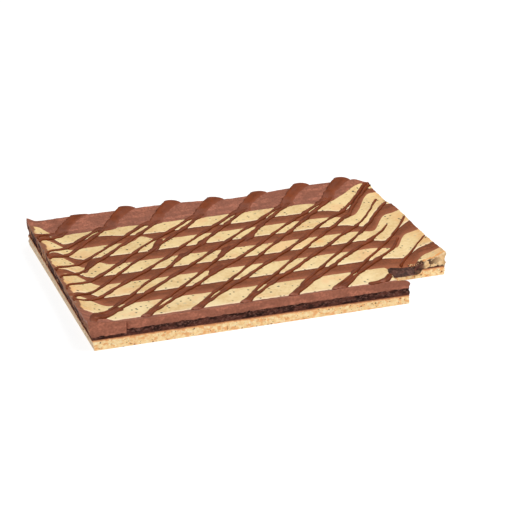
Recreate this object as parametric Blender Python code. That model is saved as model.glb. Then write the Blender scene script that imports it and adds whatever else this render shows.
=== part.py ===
"""Sheet brownie: a tray bake with one square cut out of its near right corner.

A flat biscuit base carries a baked layer made of bands that run from the left edge to the
right edge and lie side by side: brownie, pale dough, brownie and so on to the back. The layer
climbs to a raised rim all round, and thick chocolate drizzle zigzags over the bands. Each band
is one solid that goes down to the biscuit, with its share of the drizzle fused to it.

All points are worked out in sheet coordinates, with the front left corner of the biscuit at
(0, 0, 0), X along the front edge, Y towards the back and Z up. place() moves them to the
part's own frame, whose origin is at the bottom centre of the whole.
"""
import math
from collections import namedtuple

import bmesh
import bpy
from mathutils import Vector, noise

# Driving dimensions, in metres
LENGTH = 0.380
DEPTH = 0.268
NOTCH_LENGTH = 0.060
NOTCH_DEPTH = 0.053
CUT_X = LENGTH - NOTCH_LENGTH
BISCUIT_LEFT = 0.0114
BISCUIT_RIGHT = 0.0094
FIELD_LEFT = 0.0180
FIELD_RIGHT = 0.0164
GAP = 0.0003

# Raised rim: how far it reaches in from each edge, and how high it stands
FRONT_RIM = 0.024
BACK_RIM = 0.025
SIDE_RIM = 0.028
RIM_POWER = 1.6
FRONT_CREST = 0.0270
FRONT_CORNER_LIFT = 0.0028
FRONT_CORNER_REACH = 0.040
LEFT_CREST = 0.0250
LEFT_CORNER_LIFT = 0.0048
LEFT_CORNER_REACH = 0.090
BACK_CREST = 0.0252
BACK_SAG = 0.0034
BACK_SAG_AT = 0.228
BACK_SAG_WIDTH = 0.048
BACK_CORNER_SPIKE = 0.0035
BACK_SPIKE_REACH = 0.010
BACK_CORNER_FALL = 0.0055
BACK_FALL_FROM = 0.362
RIGHT_CREST = 0.0246
RIGHT_STEP = 0.0032
RIGHT_STEP_TO = 0.110
RIGHT_FALL = 0.0046
RIGHT_FALL_FROM = 0.190
RIGHT_FALL_TO = 0.222
UNEVEN = 0.0004
UNEVEN_SCALE = 0.030

# The top rounds off beside the notch, but not where the pale dough stands at the far cut
CUT_DROP = 0.0026
CUT_REACH = 0.007
CUT_FIRM_FROM = 0.350
CUT_FIRM_TO = 0.358

# Sides: the tray's sloping walls, and the baked skin that rolls down over the crumb
FLARE_REACH = 0.045
FLARE_HEIGHT = 0.030
LEFT_FLARE_FRONT = 0.0055
LEFT_FLARE_BACK = 0.0012
RIGHT_FLARE = 0.0014
FRONT_FLARE = 0.0014
BACK_FLARE = 0.0010
SKIN_FRONT = 0.0185
SKIN_SIDE = 0.0175
SKIN_SLOPE = 0.0012
SKIN_RAGGED = 0.0010
SKIN_RAGGED_SCALE = 0.012
SKIN_TUCK = 0.0007
SKIN_STEP = 0.0006
SKIN_LEAST = 0.002
FLAP_DROP = 0.0034
FLAP_FROM = 0.031
FLAP_TO = 0.035
CRUMB_ROUGH = 0.0003
CRUMB_SCALE = 0.007
BISCUIT_FOOT_INSET = 0.0005
BISCUIT_INSET = 0.0002
BISCUIT_ROUGH = 0.0004
BISCUIT_LEVELS = 3

# Drizzle
PITCH = 0.0494
FIRST_STRAND = -6
LAST_STRAND = 6
ZIG_START = 0.054
ZIG_SLOPE = 1.02
ZAG_START = 0.062
ZAG_SLOPE = 1.165
MERGE_Y = 0.021
DRIZZLE_FRONT = 0.021
LEFT_CLIMB = 0.009
LEFT_CLIMB_REACH = 0.030
DRIZZLE_WIDTH = 0.0036
FRONT_WIDTH = 0.0062
BACK_WIDTH = 0.0098
SPLIT_FROM = 0.026
SPLIT_TO = 0.052
JOIN_FROM = 0.226
JOIN_TO = 0.246
SQUARE_FROM = 0.240
SQUARE_TO = 0.262
DRIZZLE_HEIGHT = 0.0016
RIBBON_HEIGHT = 0.0032
SINK = 0.0032
WANDER = 0.0012
WANDER_SCALE = 0.028
STEEP_FROM = 0.330
STEEPEN = 0.72
STRAND_STEP = 0.0210
STRAND_RIM_STEP = 0.0078
STRAND_SCAN = 0.0005
SHORTEST_STRAND = 0.012
STRAND_MARGIN = 0.0012
BACK_LIP = 0.0006
# Half section of a bead: share of its width, and share of its height or the depth it is sunk
BEAD_SECTION = ((-0.42, -SINK), (-0.50, 0.0), (-0.22, 1.0), (0.22, 1.0), (0.50, 0.0), (0.42, -SINK))

# Bands: where the edge between two neighbours runs, from the front to the back. A row gives
# its height in the flat middle, how far it climbs at the left end and falls back there, its
# dip before the right end, and how far it climbs at the right end.
Edge = namedtuple("Edge", "level left left_from left_to settle dip dip_at right right_from right_to")
EDGES = (
    Edge(0.0225, 0.018, 0.006, 0.030, 0.000, 0.000, 0.340, 0.000, 0.343, 0.372),
    Edge(0.0547, 0.024, 0.008, 0.032, 0.004, 0.006, 0.336, 0.014, 0.343, 0.366),
    Edge(0.0755, 0.014, 0.016, 0.034, 0.008, 0.005, 0.342, 0.011, 0.342, 0.368),
    Edge(0.1040, 0.032, 0.014, 0.036, 0.009, 0.007, 0.344, 0.021, 0.343, 0.368),
    Edge(0.1255, 0.022, 0.010, 0.034, 0.002, 0.007, 0.341, 0.024, 0.340, 0.382),
    Edge(0.1505, 0.029, 0.014, 0.032, 0.008, 0.004, 0.336, 0.029, 0.338, 0.366),
    Edge(0.1715, 0.020, 0.012, 0.036, 0.009, 0.010, 0.333, 0.034, 0.334, 0.378),
    Edge(0.1960, 0.026, 0.010, 0.030, 0.004, 0.006, 0.326, 0.042, 0.334, 0.374),
    Edge(0.2150, 0.026, 0.012, 0.026, 0.003, 0.008, 0.328, 0.030, 0.330, 0.376),
    Edge(0.2385, 0.020, 0.008, 0.025, 0.001, 0.007, 0.316, 0.025, 0.318, 0.376),
)
# Swells of an edge: which edge, how high, where along the sheet and how wide
SWELLS = (
    (5, 0.011, 0.044, 0.008),
    (7, 0.004, 0.060, 0.050),
    (7, 0.012, 0.106, 0.008),
    (8, 0.010, 0.064, 0.024),
    (8, -0.003, 0.218, 0.020),
    (9, 0.002, 0.090, 0.040),
)
DIP_WIDTH = 0.012
SETTLE_REACH = 0.010
OUTSIDE = 0.020
TALL = 0.060
CURVE_STEP = 0.020
END_REACH = 0.046
END_STEP = 0.0058

# Meshing
RIM_LINES = (0.0, 0.004, 0.011, 0.024)
GRID_STEP = 0.026
OUTLINE_STEP = 0.0135
SIDE_RINGS = 3
TINY = 1e-5
WELD = 1e-6

# Colour, roughness
BISCUIT_LOOK = ((0.72, 0.45, 0.20, 1.0), 0.85)
DOUGH_LOOK = ((0.80, 0.62, 0.33, 1.0), 0.60)
BROWNIE_LOOK = ((0.28, 0.12, 0.075, 1.0), 0.55)


def clear_scene():
    """Remove what the file holds before the model is made."""
    for obj in list(bpy.data.objects):
        bpy.data.objects.remove(obj, do_unlink=True)


def smooth(start, end, value):
    """Ease from 0 at start to 1 at end."""
    t = min(max((value - start) / (end - start), 0.0), 1.0)
    return t * t * (3.0 - 2.0 * t)


def bell(value, centre, width):
    """A bell curve of height 1."""
    return math.exp(-((value - centre) / width) ** 2)


def wave(x, y, scale, seed):
    """Soft unevenness between about -1 and 1."""
    return noise.noise(Vector((x / scale, y / scale, seed)))


def biscuit_top(x):
    """Height of the biscuit's upper side, thinner towards the right."""
    return BISCUIT_LEFT + (BISCUIT_RIGHT - BISCUIT_LEFT) * x / LENGTH


def front_crest(x):
    return FRONT_CREST + FRONT_CORNER_LIFT * (1.0 - smooth(0.0, FRONT_CORNER_REACH, x))


def left_crest(y):
    return LEFT_CREST + LEFT_CORNER_LIFT * (1.0 - smooth(0.0, LEFT_CORNER_REACH, y))


def back_crest(x):
    """The back rim sags beyond the middle, ends in a spike at the left and falls at the right."""
    spike = BACK_CORNER_SPIKE * (1.0 - smooth(0.0, BACK_SPIKE_REACH, x))
    sag = BACK_SAG * bell(x, BACK_SAG_AT, BACK_SAG_WIDTH)
    fall = BACK_CORNER_FALL * smooth(BACK_FALL_FROM, LENGTH, x)
    return BACK_CREST + spike - sag - fall


def right_crest(y):
    """The right rim steps down beyond the notch, and again before the back corner."""
    step = RIGHT_STEP * smooth(NOTCH_DEPTH, RIGHT_STEP_TO, y)
    fall = RIGHT_FALL * smooth(RIGHT_FALL_FROM, RIGHT_FALL_TO, y)
    return RIGHT_CREST - step - fall


def rise(distance, reach):
    """Share of a rim's height at a distance in from its edge."""
    return max(1.0 - distance / reach, 0.0) ** RIM_POWER


def cut_drop(x, y, height):
    """The top rounds off beside the two cut faces of the notch."""
    firm = 0.0
    if x > CUT_X:
        firm = smooth(CUT_FIRM_FROM, CUT_FIRM_TO, x)
        gap = y - NOTCH_DEPTH
    elif y < NOTCH_DEPTH:
        gap = CUT_X - x
    else:
        gap = math.hypot(CUT_X - x, y - NOTCH_DEPTH)
    near = max(1.0 - gap / CUT_REACH, 0.0)
    return CUT_DROP * (1.0 - firm) * near ** 2 * height / FIELD_LEFT


def top_height(x, y):
    """Height of the baked top: a flat field that climbs to the rim on all four sides."""
    x = min(max(x, 0.0), LENGTH)
    y = min(max(y, 0.0), DEPTH)
    field = FIELD_LEFT + (FIELD_RIGHT - FIELD_LEFT) * x / LENGTH
    rims = (
        (front_crest(x), y, FRONT_RIM),
        (back_crest(x), DEPTH - y, BACK_RIM),
        (left_crest(y), x, SIDE_RIM),
        (right_crest(y), LENGTH - x, SIDE_RIM),
    )
    total = sum(max((crest - field) * rise(gap, reach), 0.0) ** 3 for crest, gap, reach in rims)
    height = field + total ** (1.0 / 3.0) + UNEVEN * wave(x, y, UNEVEN_SCALE, 1.0)
    return height - cut_drop(x, y, height)


def flared(x, y, z):
    """Lean the outer sides outwards with height, as the walls of the tray did."""
    share = z / FLARE_HEIGHT
    left = LEFT_FLARE_FRONT + (LEFT_FLARE_BACK - LEFT_FLARE_FRONT) * smooth(0.0, DEPTH, y)
    out_x = RIGHT_FLARE * max(1.0 - (LENGTH - x) / FLARE_REACH, 0.0)
    out_x -= left * max(1.0 - x / FLARE_REACH, 0.0)
    out_y = BACK_FLARE * max(1.0 - (DEPTH - y) / FLARE_REACH, 0.0)
    out_y -= FRONT_FLARE * max(1.0 - y / FLARE_REACH, 0.0)
    return x + out_x * share, y + out_y * share, z


def place(x, y, z):
    """Sheet coordinates to the part's frame."""
    centre_x = (LENGTH + RIGHT_FLARE - LEFT_FLARE_FRONT) / 2.0
    centre_y = (DEPTH + BACK_FLARE - FRONT_FLARE) / 2.0
    return Vector((x - centre_x, y - centre_y, z))


def material(name, look):
    """A Principled material."""
    colour, roughness = look
    made = bpy.data.materials.new(name)
    made.use_nodes = True
    shader = made.node_tree.nodes["Principled BSDF"]
    shader.inputs["Base Color"].default_value = colour
    shader.inputs["Roughness"].default_value = roughness
    shader.inputs["Metallic"].default_value = 0.0
    return made


def add_object(name, bm, look=None):
    """Turn a bmesh into an object with its normals pointing out."""
    bmesh.ops.recalc_face_normals(bm, faces=bm.faces)
    mesh = bpy.data.meshes.new(name)
    bm.to_mesh(mesh)
    bm.free()
    if look:
        mesh.materials.append(look)
    made = bpy.data.objects.new(name, mesh)
    bpy.context.scene.collection.objects.link(made)
    return made


def lines_across(total, cut):
    """Grid lines from 0 to total: close together at the rims, and one exactly on the cut."""
    inner = RIM_LINES[-1]
    span = total - 2.0 * inner
    count = round(span / GRID_STEP)
    middle = [inner + span * i / count for i in range(1, count)]
    lines = list(RIM_LINES) + middle + [total - value for value in reversed(RIM_LINES)]
    nearest = min(range(1, len(lines) - 1), key=lambda i: abs(lines[i] - cut))
    lines[nearest] = cut
    return lines


def on_cut_x(x, y):
    """True on the cut face of the notch that looks to the right."""
    return abs(x - CUT_X) < TINY and y < NOTCH_DEPTH + TINY


def on_cut_y(x, y):
    """True on the cut face of the notch that looks to the front."""
    return abs(y - NOTCH_DEPTH) < TINY and x > CUT_X - TINY


def outward(x, y):
    """Direction out of the sheet at a point of its outline."""
    out_x = float(x > LENGTH - TINY) - float(x < TINY)
    out_y = float(y > DEPTH - TINY) - float(y < TINY)
    if on_cut_x(x, y):
        out_x = 1.0
    if on_cut_y(x, y):
        out_y = -1.0
    return out_x, out_y


def skin_edge(x, y):
    """Height at which the baked skin ends on an outer side, lower on the flap at the left."""
    level = SKIN_FRONT if y < DEPTH / 2.0 and 0.0 < x < LENGTH else SKIN_SIDE
    ragged = SKIN_RAGGED * wave(x, y, SKIN_RAGGED_SCALE, 4.0)
    flap = FLAP_DROP * (1.0 - smooth(FLAP_FROM, FLAP_TO, x)) if y < TINY else 0.0
    return level - SKIN_SLOPE * x / LENGTH + ragged - flap


def side_point(x, y, ring):
    """A point of the layer's side, ring by ring from the crest down to the biscuit."""
    top = top_height(x, y)
    low = biscuit_top(x) + GAP
    last = ring == SIDE_RINGS - 1
    if on_cut_x(x, y) or on_cut_y(x, y):
        z = top + (low - top) * (ring + 1) / SIDE_RINGS
        tuck = 0.0
    else:
        edge = min(skin_edge(x, y), top - SKIN_LEAST)
        z = (edge, edge - SKIN_STEP, low)[ring]
        tuck = (0.0, SKIN_TUCK, SKIN_TUCK / 2.0)[ring]
    if not last:
        tuck += CRUMB_ROUGH * wave(x, y, CRUMB_SCALE, 7.0 + ring)
    out_x, out_y = outward(x, y)
    px, py, pz = flared(x, y, low if last else z)
    return place(px - out_x * tuck, py - out_y * tuck, pz)


def in_notch(x, y):
    """True on the notch's footprint and its outline."""
    return x >= CUT_X and y <= NOTCH_DEPTH


def baked_layer():
    """The whole layer over the biscuit, as one closed solid with its notch."""
    xs = lines_across(LENGTH, CUT_X)
    ys = lines_across(DEPTH, NOTCH_DEPTH)
    bm = bmesh.new()
    bmesh.ops.create_grid(bm, x_segments=len(xs) - 1, y_segments=len(ys) - 1, size=1.0)
    plan = {}
    for vert in bm.verts:
        column = round((vert.co.x + 1.0) / 2.0 * (len(xs) - 1))
        row = round((vert.co.y + 1.0) / 2.0 * (len(ys) - 1))
        plan[vert] = (xs[column], ys[row])
    missing = [face for face in bm.faces if all(in_notch(*plan[vert]) for vert in face.verts)]
    bmesh.ops.delete(bm, geom=missing, context="FACES")
    plan = {vert: plan[vert] for vert in bm.verts}
    for vert, (x, y) in plan.items():
        vert.co = place(*flared(x, y, top_height(x, y)))
    rim = [edge for edge in bm.edges if edge.is_boundary]
    for ring in range(SIDE_RINGS):
        rim = next_ring(bm, rim, plan, side_point, ring)
    bmesh.ops.contextual_create(bm, geom=rim)
    return add_object("baked_layer", bm)


def next_ring(bm, rim, plan, point, ring):
    """Extrude an open rim to its next ring, where point() puts it. Returns the new open rim."""
    old = {vert for edge in rim for vert in edge.verts}
    made = bmesh.ops.extrude_edge_only(bm, edges=rim)["geom"]
    fresh = [item for item in made if isinstance(item, bmesh.types.BMVert)]
    for vert in fresh:
        source = next(e.other_vert(vert) for e in vert.link_edges if e.other_vert(vert) in old)
        plan[vert] = plan[source]
        vert.co = point(*plan[vert], ring)
    return [edge for edge in bm.edges if edge.is_boundary]


def biscuit_outline():
    """Points round the biscuit, with the notch, in sheet coordinates."""
    corners = ((0.0, 0.0), (CUT_X, 0.0), (CUT_X, NOTCH_DEPTH), (LENGTH, NOTCH_DEPTH),
               (LENGTH, DEPTH), (0.0, DEPTH))
    points = []
    for (x0, y0), (x1, y1) in zip(corners, corners[1:] + corners[:1]):
        count = round(math.hypot(x1 - x0, y1 - y0) / OUTLINE_STEP)
        for i in range(count):
            points.append((x0 + (x1 - x0) * i / count, y0 + (y1 - y0) * i / count))
    return points


def biscuit_point(x, y, level):
    """A point of the biscuit's side: crumbly between a straight foot and a straight top."""
    out_x, out_y = outward(x, y)
    inset = BISCUIT_INSET if level else BISCUIT_FOOT_INSET
    if 0 < level < BISCUIT_LEVELS:
        inset += BISCUIT_ROUGH * wave(x, y, CRUMB_SCALE, 20.0 + level)
    px, py, pz = flared(x, y, biscuit_top(x) * level / BISCUIT_LEVELS)
    return place(px - out_x * inset, py - out_y * inset, pz)


def biscuit_base():
    """The biscuit: flat below, with crumbly uneven sides."""
    outline = biscuit_outline()
    bm = bmesh.new()
    foot = [bm.verts.new(biscuit_point(x, y, 0)) for x, y in outline]
    plan = dict(zip(foot, outline))
    rim = list(bm.faces.new(foot).edges)
    for level in range(1, BISCUIT_LEVELS + 1):
        rim = next_ring(bm, rim, plan, biscuit_point, level)
    bmesh.ops.contextual_create(bm, geom=rim)
    return add_object("biscuit_base", bm, material("biscuit", BISCUIT_LOOK))


def strand_x(start, slope, index, y, seed):
    """Where one drizzle strand crosses at a depth y."""
    x = start + PITCH * index + slope * (y - MERGE_Y)
    x += WANDER * wave(x, y, WANDER_SCALE, seed)
    if x > STEEP_FROM:
        x = STEEP_FROM + (x - STEEP_FROM) * STEEPEN
    return x


def strand_size(y):
    """Width and height of a strand: thick where zig and zag meet at the front and back."""
    front = 1.0 - smooth(SPLIT_FROM, SPLIT_TO, y)
    back = smooth(JOIN_FROM, JOIN_TO, y)
    width = DRIZZLE_WIDTH + (FRONT_WIDTH - DRIZZLE_WIDTH) * front + (BACK_WIDTH - DRIZZLE_WIDTH) * back
    height = DRIZZLE_HEIGHT + (RIBBON_HEIGHT - DRIZZLE_HEIGHT) * back
    return width, height


def on_sheet(x, y):
    """True where a strand's centre lies on the baked top, clear of its edges and the notch."""
    margin = STRAND_MARGIN + strand_size(y)[0] / 2.0
    over_notch = x > CUT_X - margin and y < NOTCH_DEPTH + margin
    return margin < x < LENGTH - margin and not over_notch


def strand_runs(start, slope, index, seed):
    """The stretches of one strand that lie on the sheet, as rows of points.

    A strand climbs a little more steeply over the left rim.
    """
    span = DEPTH + BACK_LIP - DRIZZLE_FRONT
    count = round(span / STRAND_SCAN)
    runs = [[]]
    for i in range(count + 1):
        y = DRIZZLE_FRONT + span * i / count
        x = strand_x(start, slope, index, y, seed)
        climbed = y + LEFT_CLIMB * (1.0 - smooth(0.0, LEFT_CLIMB_REACH, x))
        if on_sheet(x, climbed):
            runs[-1].append((x, climbed))
        elif runs[-1]:
            runs.append([])
    return [thin_out(run) for run in runs if len(run) * STRAND_SCAN > SHORTEST_STRAND]


def thin_out(run):
    """Fewer points of a finely scanned run: its ends, and others that are closer on a rim."""
    kept = [run[0]]
    for x, y in run:
        on_rim = min(x, LENGTH - x, y, DEPTH - y) < FRONT_RIM
        step = STRAND_RIM_STEP if on_rim else STRAND_STEP
        if y - kept[-1][1] > step and run[-1][1] - y > step / 2.0:
            kept.append((x, y))
    return kept + [run[-1]]


def bead(path, name):
    """A half round bead along a path on the baked top, sunk a little into it."""
    bm = bmesh.new()
    rings = []
    for i, (x, y) in enumerate(path):
        ahead = Vector(path[min(i + 1, len(path) - 1)]) - Vector(path[max(i - 1, 0)])
        square = smooth(SQUARE_FROM, SQUARE_TO, y)
        side = Vector((ahead.y, -ahead.x)).normalized().lerp(Vector((1.0, 0.0)), square)
        width, height = strand_size(y)
        ring = []
        for across, share in BEAD_SECTION:
            px = x + side.x * across * width
            py = y + side.y * across * width
            lift = share if share < 0.0 else height * share
            ring.append(bm.verts.new(place(*flared(px, py, top_height(px, py) + lift))))
        rings.append([bm.edges.new(pair) for pair in zip(ring, ring[1:] + ring[:1])])
    for one, two in zip(rings, rings[1:]):
        bmesh.ops.bridge_loops(bm, edges=one + two)
    bmesh.ops.contextual_create(bm, geom=rings[0])
    bmesh.ops.contextual_create(bm, geom=rings[-1])
    return add_object(name, bm)


def drizzle_strands():
    """All strands of the zigzag: the zigs and the flatter zags between them."""
    strands = []
    for index in range(FIRST_STRAND, LAST_STRAND + 1):
        for kind, start, slope in (("zig", ZIG_START, ZIG_SLOPE), ("zag", ZAG_START, ZAG_SLOPE)):
            seed = 2.0 * index + (0.7 if kind == "zag" else 0.0)
            for run in strand_runs(start, slope, index, seed):
                strands.append(bead(run, f"{kind}_strand"))
    return strands


def bake(target):
    """Apply every modifier of an object."""
    graph = bpy.context.evaluated_depsgraph_get()
    mesh = bpy.data.meshes.new_from_object(target.evaluated_get(graph))
    target.modifiers.clear()
    target.data = mesh


def fuse(target, pieces):
    """One Boolean union of a collection into the target, applied."""
    collection = bpy.data.collections.new("drizzle")
    bpy.context.scene.collection.children.link(collection)
    for piece in pieces:
        bpy.context.scene.collection.objects.unlink(piece)
        collection.objects.link(piece)
    union = target.modifiers.new("union", "BOOLEAN")
    union.operation = "UNION"
    union.operand_type = "COLLECTION"
    union.collection = collection
    union.solver = "EXACT"
    bake(target)
    for piece in list(collection.objects):
        bpy.data.objects.remove(piece, do_unlink=True)
    bpy.data.collections.remove(collection)


def edge_y(row, x):
    """Depth of a band edge at x."""
    edge = EDGES[row]
    x = min(max(x, 0.0), LENGTH)
    y = edge.level
    y += edge.left * (1.0 - smooth(edge.left_from, edge.left_to, x))
    y -= edge.settle * (1.0 - smooth(0.0, SETTLE_REACH, x))
    y -= edge.dip * bell(x, edge.dip_at, DIP_WIDTH)
    y += edge.right * smooth(edge.right_from, edge.right_to, x)
    for which, height, centre, width in SWELLS:
        if which == row:
            y += height * bell(x, centre, width)
    return y


def edge_curve(row, offset):
    """Points along a band edge, closer together at its curved ends, shifted by an offset."""
    start = -OUTSIDE
    end = LENGTH + OUTSIDE
    if row < 0:
        return [(start, -OUTSIDE), (end, -OUTSIDE)]
    if row >= len(EDGES):
        return [(start, DEPTH + OUTSIDE), (end, DEPTH + OUTSIDE)]
    xs = [start]
    while xs[-1] < end:
        in_end = xs[-1] < END_REACH or xs[-1] > LENGTH - END_REACH - CURVE_STEP
        xs.append(min(xs[-1] + (END_STEP if in_end else CURVE_STEP), end))
    return [(x, edge_y(row, x) + offset) for x in xs]


def band_cutter(row):
    """A tall prism over one band's footprint, between edge row - 1 and edge row."""
    near = edge_curve(row - 1, GAP / 2.0)
    far = edge_curve(row, -GAP / 2.0)
    bm = bmesh.new()
    ring = [bm.verts.new(place(x, y, 0.0)) for x, y in near + list(reversed(far))]
    floor = bm.faces.new(ring)
    risen = bmesh.ops.extrude_face_region(bm, geom=[floor])["geom"]
    verts = [item for item in risen if isinstance(item, bmesh.types.BMVert)]
    bmesh.ops.translate(bm, verts=verts, vec=(0.0, 0.0, TALL))
    return add_object("cutter", bm)


def separate_bodies(bm):
    """The groups of faces that hang together along their edges."""
    todo = set(bm.faces)
    bodies = []
    while todo:
        body = {todo.pop()}
        front = list(body)
        while front:
            face = front.pop()
            near = {other for edge in face.edges for other in edge.link_faces} - body
            body |= near
            front.extend(near)
        todo -= body
        bodies.append(body)
    return bodies


def mean_x(body):
    return sum(face.calc_center_median().x for face in body) / len(body)


def keep_one_body(target, rank):
    """Weld stray doubles, and keep only the body that ranks highest."""
    bm = bmesh.new()
    bm.from_mesh(target.data)
    bmesh.ops.remove_doubles(bm, verts=bm.verts, dist=WELD)
    bmesh.ops.dissolve_degenerate(bm, edges=bm.edges, dist=WELD)
    bodies = separate_bodies(bm)
    kept = max(bodies, key=rank)
    loose = [face for body in bodies if body is not kept for face in body]
    bmesh.ops.delete(bm, geom=loose, context="FACES")
    bm.to_mesh(target.data)
    bm.free()


def band(name, layer, row, look, rank=len):
    """One band: what the whole layer has over the band's footprint."""
    made = bpy.data.objects.new(name, layer.data.copy())
    bpy.context.scene.collection.objects.link(made)
    cutter = band_cutter(row)
    cut = made.modifiers.new("cut", "BOOLEAN")
    cut.operation = "INTERSECT"
    cut.object = cutter
    cut.solver = "MANIFOLD"
    bake(made)
    bpy.data.objects.remove(cutter, do_unlink=True)
    keep_one_body(made, rank)
    made.data.materials.clear()
    made.data.materials.append(look)
    return made


def bands(layer):
    """All bands from front to back. The notch cuts the first dough band in two."""
    brownie = material("brownie", BROWNIE_LOOK)
    dough = material("dough", DOUGH_LOOK)
    for row in range(len(EDGES) + 1):
        kind, look = ("dough", dough) if row % 2 else ("brownie", brownie)
        band(f"{kind}_band_{row // 2 + 1}", layer, row, look)
    band("dough_band_1_end", layer, 1, dough, rank=mean_x)


def build():
    """Make the whole sheet."""
    clear_scene()
    biscuit_base()
    layer = baked_layer()
    fuse(layer, drizzle_strands())
    bands(layer)
    bpy.data.objects.remove(layer, do_unlink=True)


if __name__ == "__main__":
    build()
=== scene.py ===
"""Sheet brownie: the fine surface of a striped tray bake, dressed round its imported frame.

Every piece is worked out in sheet coordinates, in metres: the front left corner of the biscuit
is at (0, 0, 0), X runs along the front edge, Y towards the back and Z up. place() moves a point
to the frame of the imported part, whose origin is at the bottom centre of the whole.
"""
import math
import random
from collections import namedtuple

import bmesh
import bpy
from bpy.props import FloatProperty, FloatVectorProperty, IntProperty, PointerProperty
from mathutils import Euler, Matrix, Vector, noise


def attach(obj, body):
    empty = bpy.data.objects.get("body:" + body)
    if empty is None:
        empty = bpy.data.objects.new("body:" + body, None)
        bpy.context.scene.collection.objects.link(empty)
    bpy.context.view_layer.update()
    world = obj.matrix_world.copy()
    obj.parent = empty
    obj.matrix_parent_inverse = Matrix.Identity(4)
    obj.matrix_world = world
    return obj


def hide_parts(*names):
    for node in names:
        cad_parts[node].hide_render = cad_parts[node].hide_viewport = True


bl_info = {
    "name": "Sheet Brownie",
    "version": (1, 0, 0),
    "blender": (4, 5, 0),
    "location": "3D View > Sidebar > Sheet Brownie",
    "description": "Makes a striped tray bake with drizzle, a biscuit base and a cut corner",
    "category": "Object",
}

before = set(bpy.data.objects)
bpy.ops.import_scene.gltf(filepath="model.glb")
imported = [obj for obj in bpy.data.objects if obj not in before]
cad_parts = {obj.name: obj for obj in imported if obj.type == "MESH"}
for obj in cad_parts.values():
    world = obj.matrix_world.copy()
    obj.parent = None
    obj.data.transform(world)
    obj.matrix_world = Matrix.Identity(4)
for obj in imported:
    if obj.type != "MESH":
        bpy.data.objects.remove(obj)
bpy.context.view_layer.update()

# The sheet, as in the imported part
LENGTH = 0.380
DEPTH = 0.268
NOTCH_LENGTH = 0.060
NOTCH_DEPTH = 0.053
CUT_X = LENGTH - NOTCH_LENGTH
BISCUIT_LEFT = 0.0114
BISCUIT_RIGHT = 0.0094
FIELD_LEFT = 0.0180
FIELD_RIGHT = 0.0164

FRONT_RIM = 0.024
BACK_RIM = 0.025
SIDE_RIM = 0.028
RIM_POWER = 1.6
# Each rim's crest: its height where the edge starts, then the changes along the edge, each with
# where it begins and ends
FRONT_CREST = (0.0298, ((-0.0028, 0.0, 0.040),))
LEFT_CREST = (0.0298, ((-0.0048, 0.0, 0.090),))
BACK_CREST = (0.0287, ((-0.0035, 0.0, 0.010), (-0.0055, 0.362, LENGTH)))
RIGHT_CREST = (0.0246, ((-0.0032, NOTCH_DEPTH, 0.110), (-0.0046, 0.190, 0.222)))
BACK_SAG = 0.0034
BACK_SAG_AT = 0.228
BACK_SAG_WIDTH = 0.048
UNEVEN = 0.0004
UNEVEN_SCALE = 0.030
CUT_DROP = 0.0026
CUT_REACH = 0.007
CUT_FIRM_FROM = 0.350
CUT_FIRM_TO = 0.358
CORNER_FIRM = 0.8
CORNER_FIRM_REACH = 0.016
# The near cut is torn back above the biscuit: how far, how far that reaches into the sheet,
# and between which depths
TORN = 0.0034
TORN_REACH = 0.016
TORN_FROM = (0.020, 0.028)
TORN_TO = (0.046, 0.060)
TORN_FOOT = 0.003
TORN_WAVE = 0.35
TORN_SCALE = 0.004

# How far the outer sides lean out at a height, and how far in from a side that is felt
FLARE_REACH = 0.045
FLARE_HEIGHT = 0.030
LEFT_FLARE_FRONT = 0.0055
LEFT_FLARE_BACK = 0.0012
RIGHT_FLARE = 0.0014
FRONT_FLARE = 0.0014
BACK_FLARE = 0.0010

# Each edge between two bands, from the front: its depth in the middle, how much deeper it lies at
# the left and the right and where that begins and ends, and its dips beside both sides
Edge = namedtuple(
    "Edge", "level left left_from left_to settle dip dip_at right right_from right_to")
EDGES = (
    Edge(0.0225, 0.018, 0.006, 0.030, 0.000, 0.000, 0.340, 0.000, 0.343, 0.372),
    Edge(0.0547, 0.024, 0.008, 0.032, 0.004, 0.006, 0.336, 0.014, 0.343, 0.366),
    Edge(0.0755, 0.014, 0.016, 0.034, 0.008, 0.005, 0.342, 0.011, 0.342, 0.368),
    Edge(0.1040, 0.032, 0.014, 0.036, 0.009, 0.007, 0.344, 0.021, 0.343, 0.368),
    Edge(0.1255, 0.022, 0.010, 0.034, 0.002, 0.007, 0.341, 0.024, 0.340, 0.382),
    Edge(0.1505, 0.029, 0.014, 0.032, 0.008, 0.004, 0.336, 0.029, 0.338, 0.366),
    Edge(0.1715, 0.020, 0.012, 0.036, 0.009, 0.010, 0.333, 0.034, 0.334, 0.378),
    Edge(0.1960, 0.026, 0.010, 0.030, 0.004, 0.006, 0.326, 0.048, 0.334, 0.374),
    Edge(0.2150, 0.026, 0.012, 0.026, 0.003, 0.008, 0.328, 0.040, 0.330, 0.374),
    Edge(0.2385, 0.020, 0.008, 0.025, 0.001, 0.007, 0.316, 0.025, 0.318, 0.376),
)
# Swells of single edges: which, how high, where and how wide
SWELLS = (
    (5, 0.011, 0.044, 0.008),
    (7, 0.004, 0.060, 0.050),
    (7, 0.012, 0.106, 0.008),
    (8, 0.010, 0.064, 0.024),
    (8, -0.003, 0.218, 0.020),
    (9, 0.002, 0.090, 0.040),
)
DIP_WIDTH = 0.012
SETTLE_REACH = 0.010
EDGE_WOBBLE = 0.0005
EDGE_WOBBLE_SCALE = 0.008

# Drizzle: two sets of strands, zig and zag, each repeated at the same pitch
PITCH = 0.0494
FIRST_STRAND = -6
MERGE_Y = 0.021
DRIZZLE_FRONT = 0.0205
DRIZZLE_BACK = 0.246
LEFT_CLIMB = 0.009
LEFT_CLIMB_REACH = 0.030
SHORTEST_STRAND = 0.008
STRAND_SCAN = 0.0015
STRAND_MARGIN = 0.0002
WANDER = 0.0012
WANDER_SCALE = 0.012
# A strand spreads where it runs over the edge of a band
SPREAD = 0.42
SPREAD_REACH = 0.0048

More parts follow.
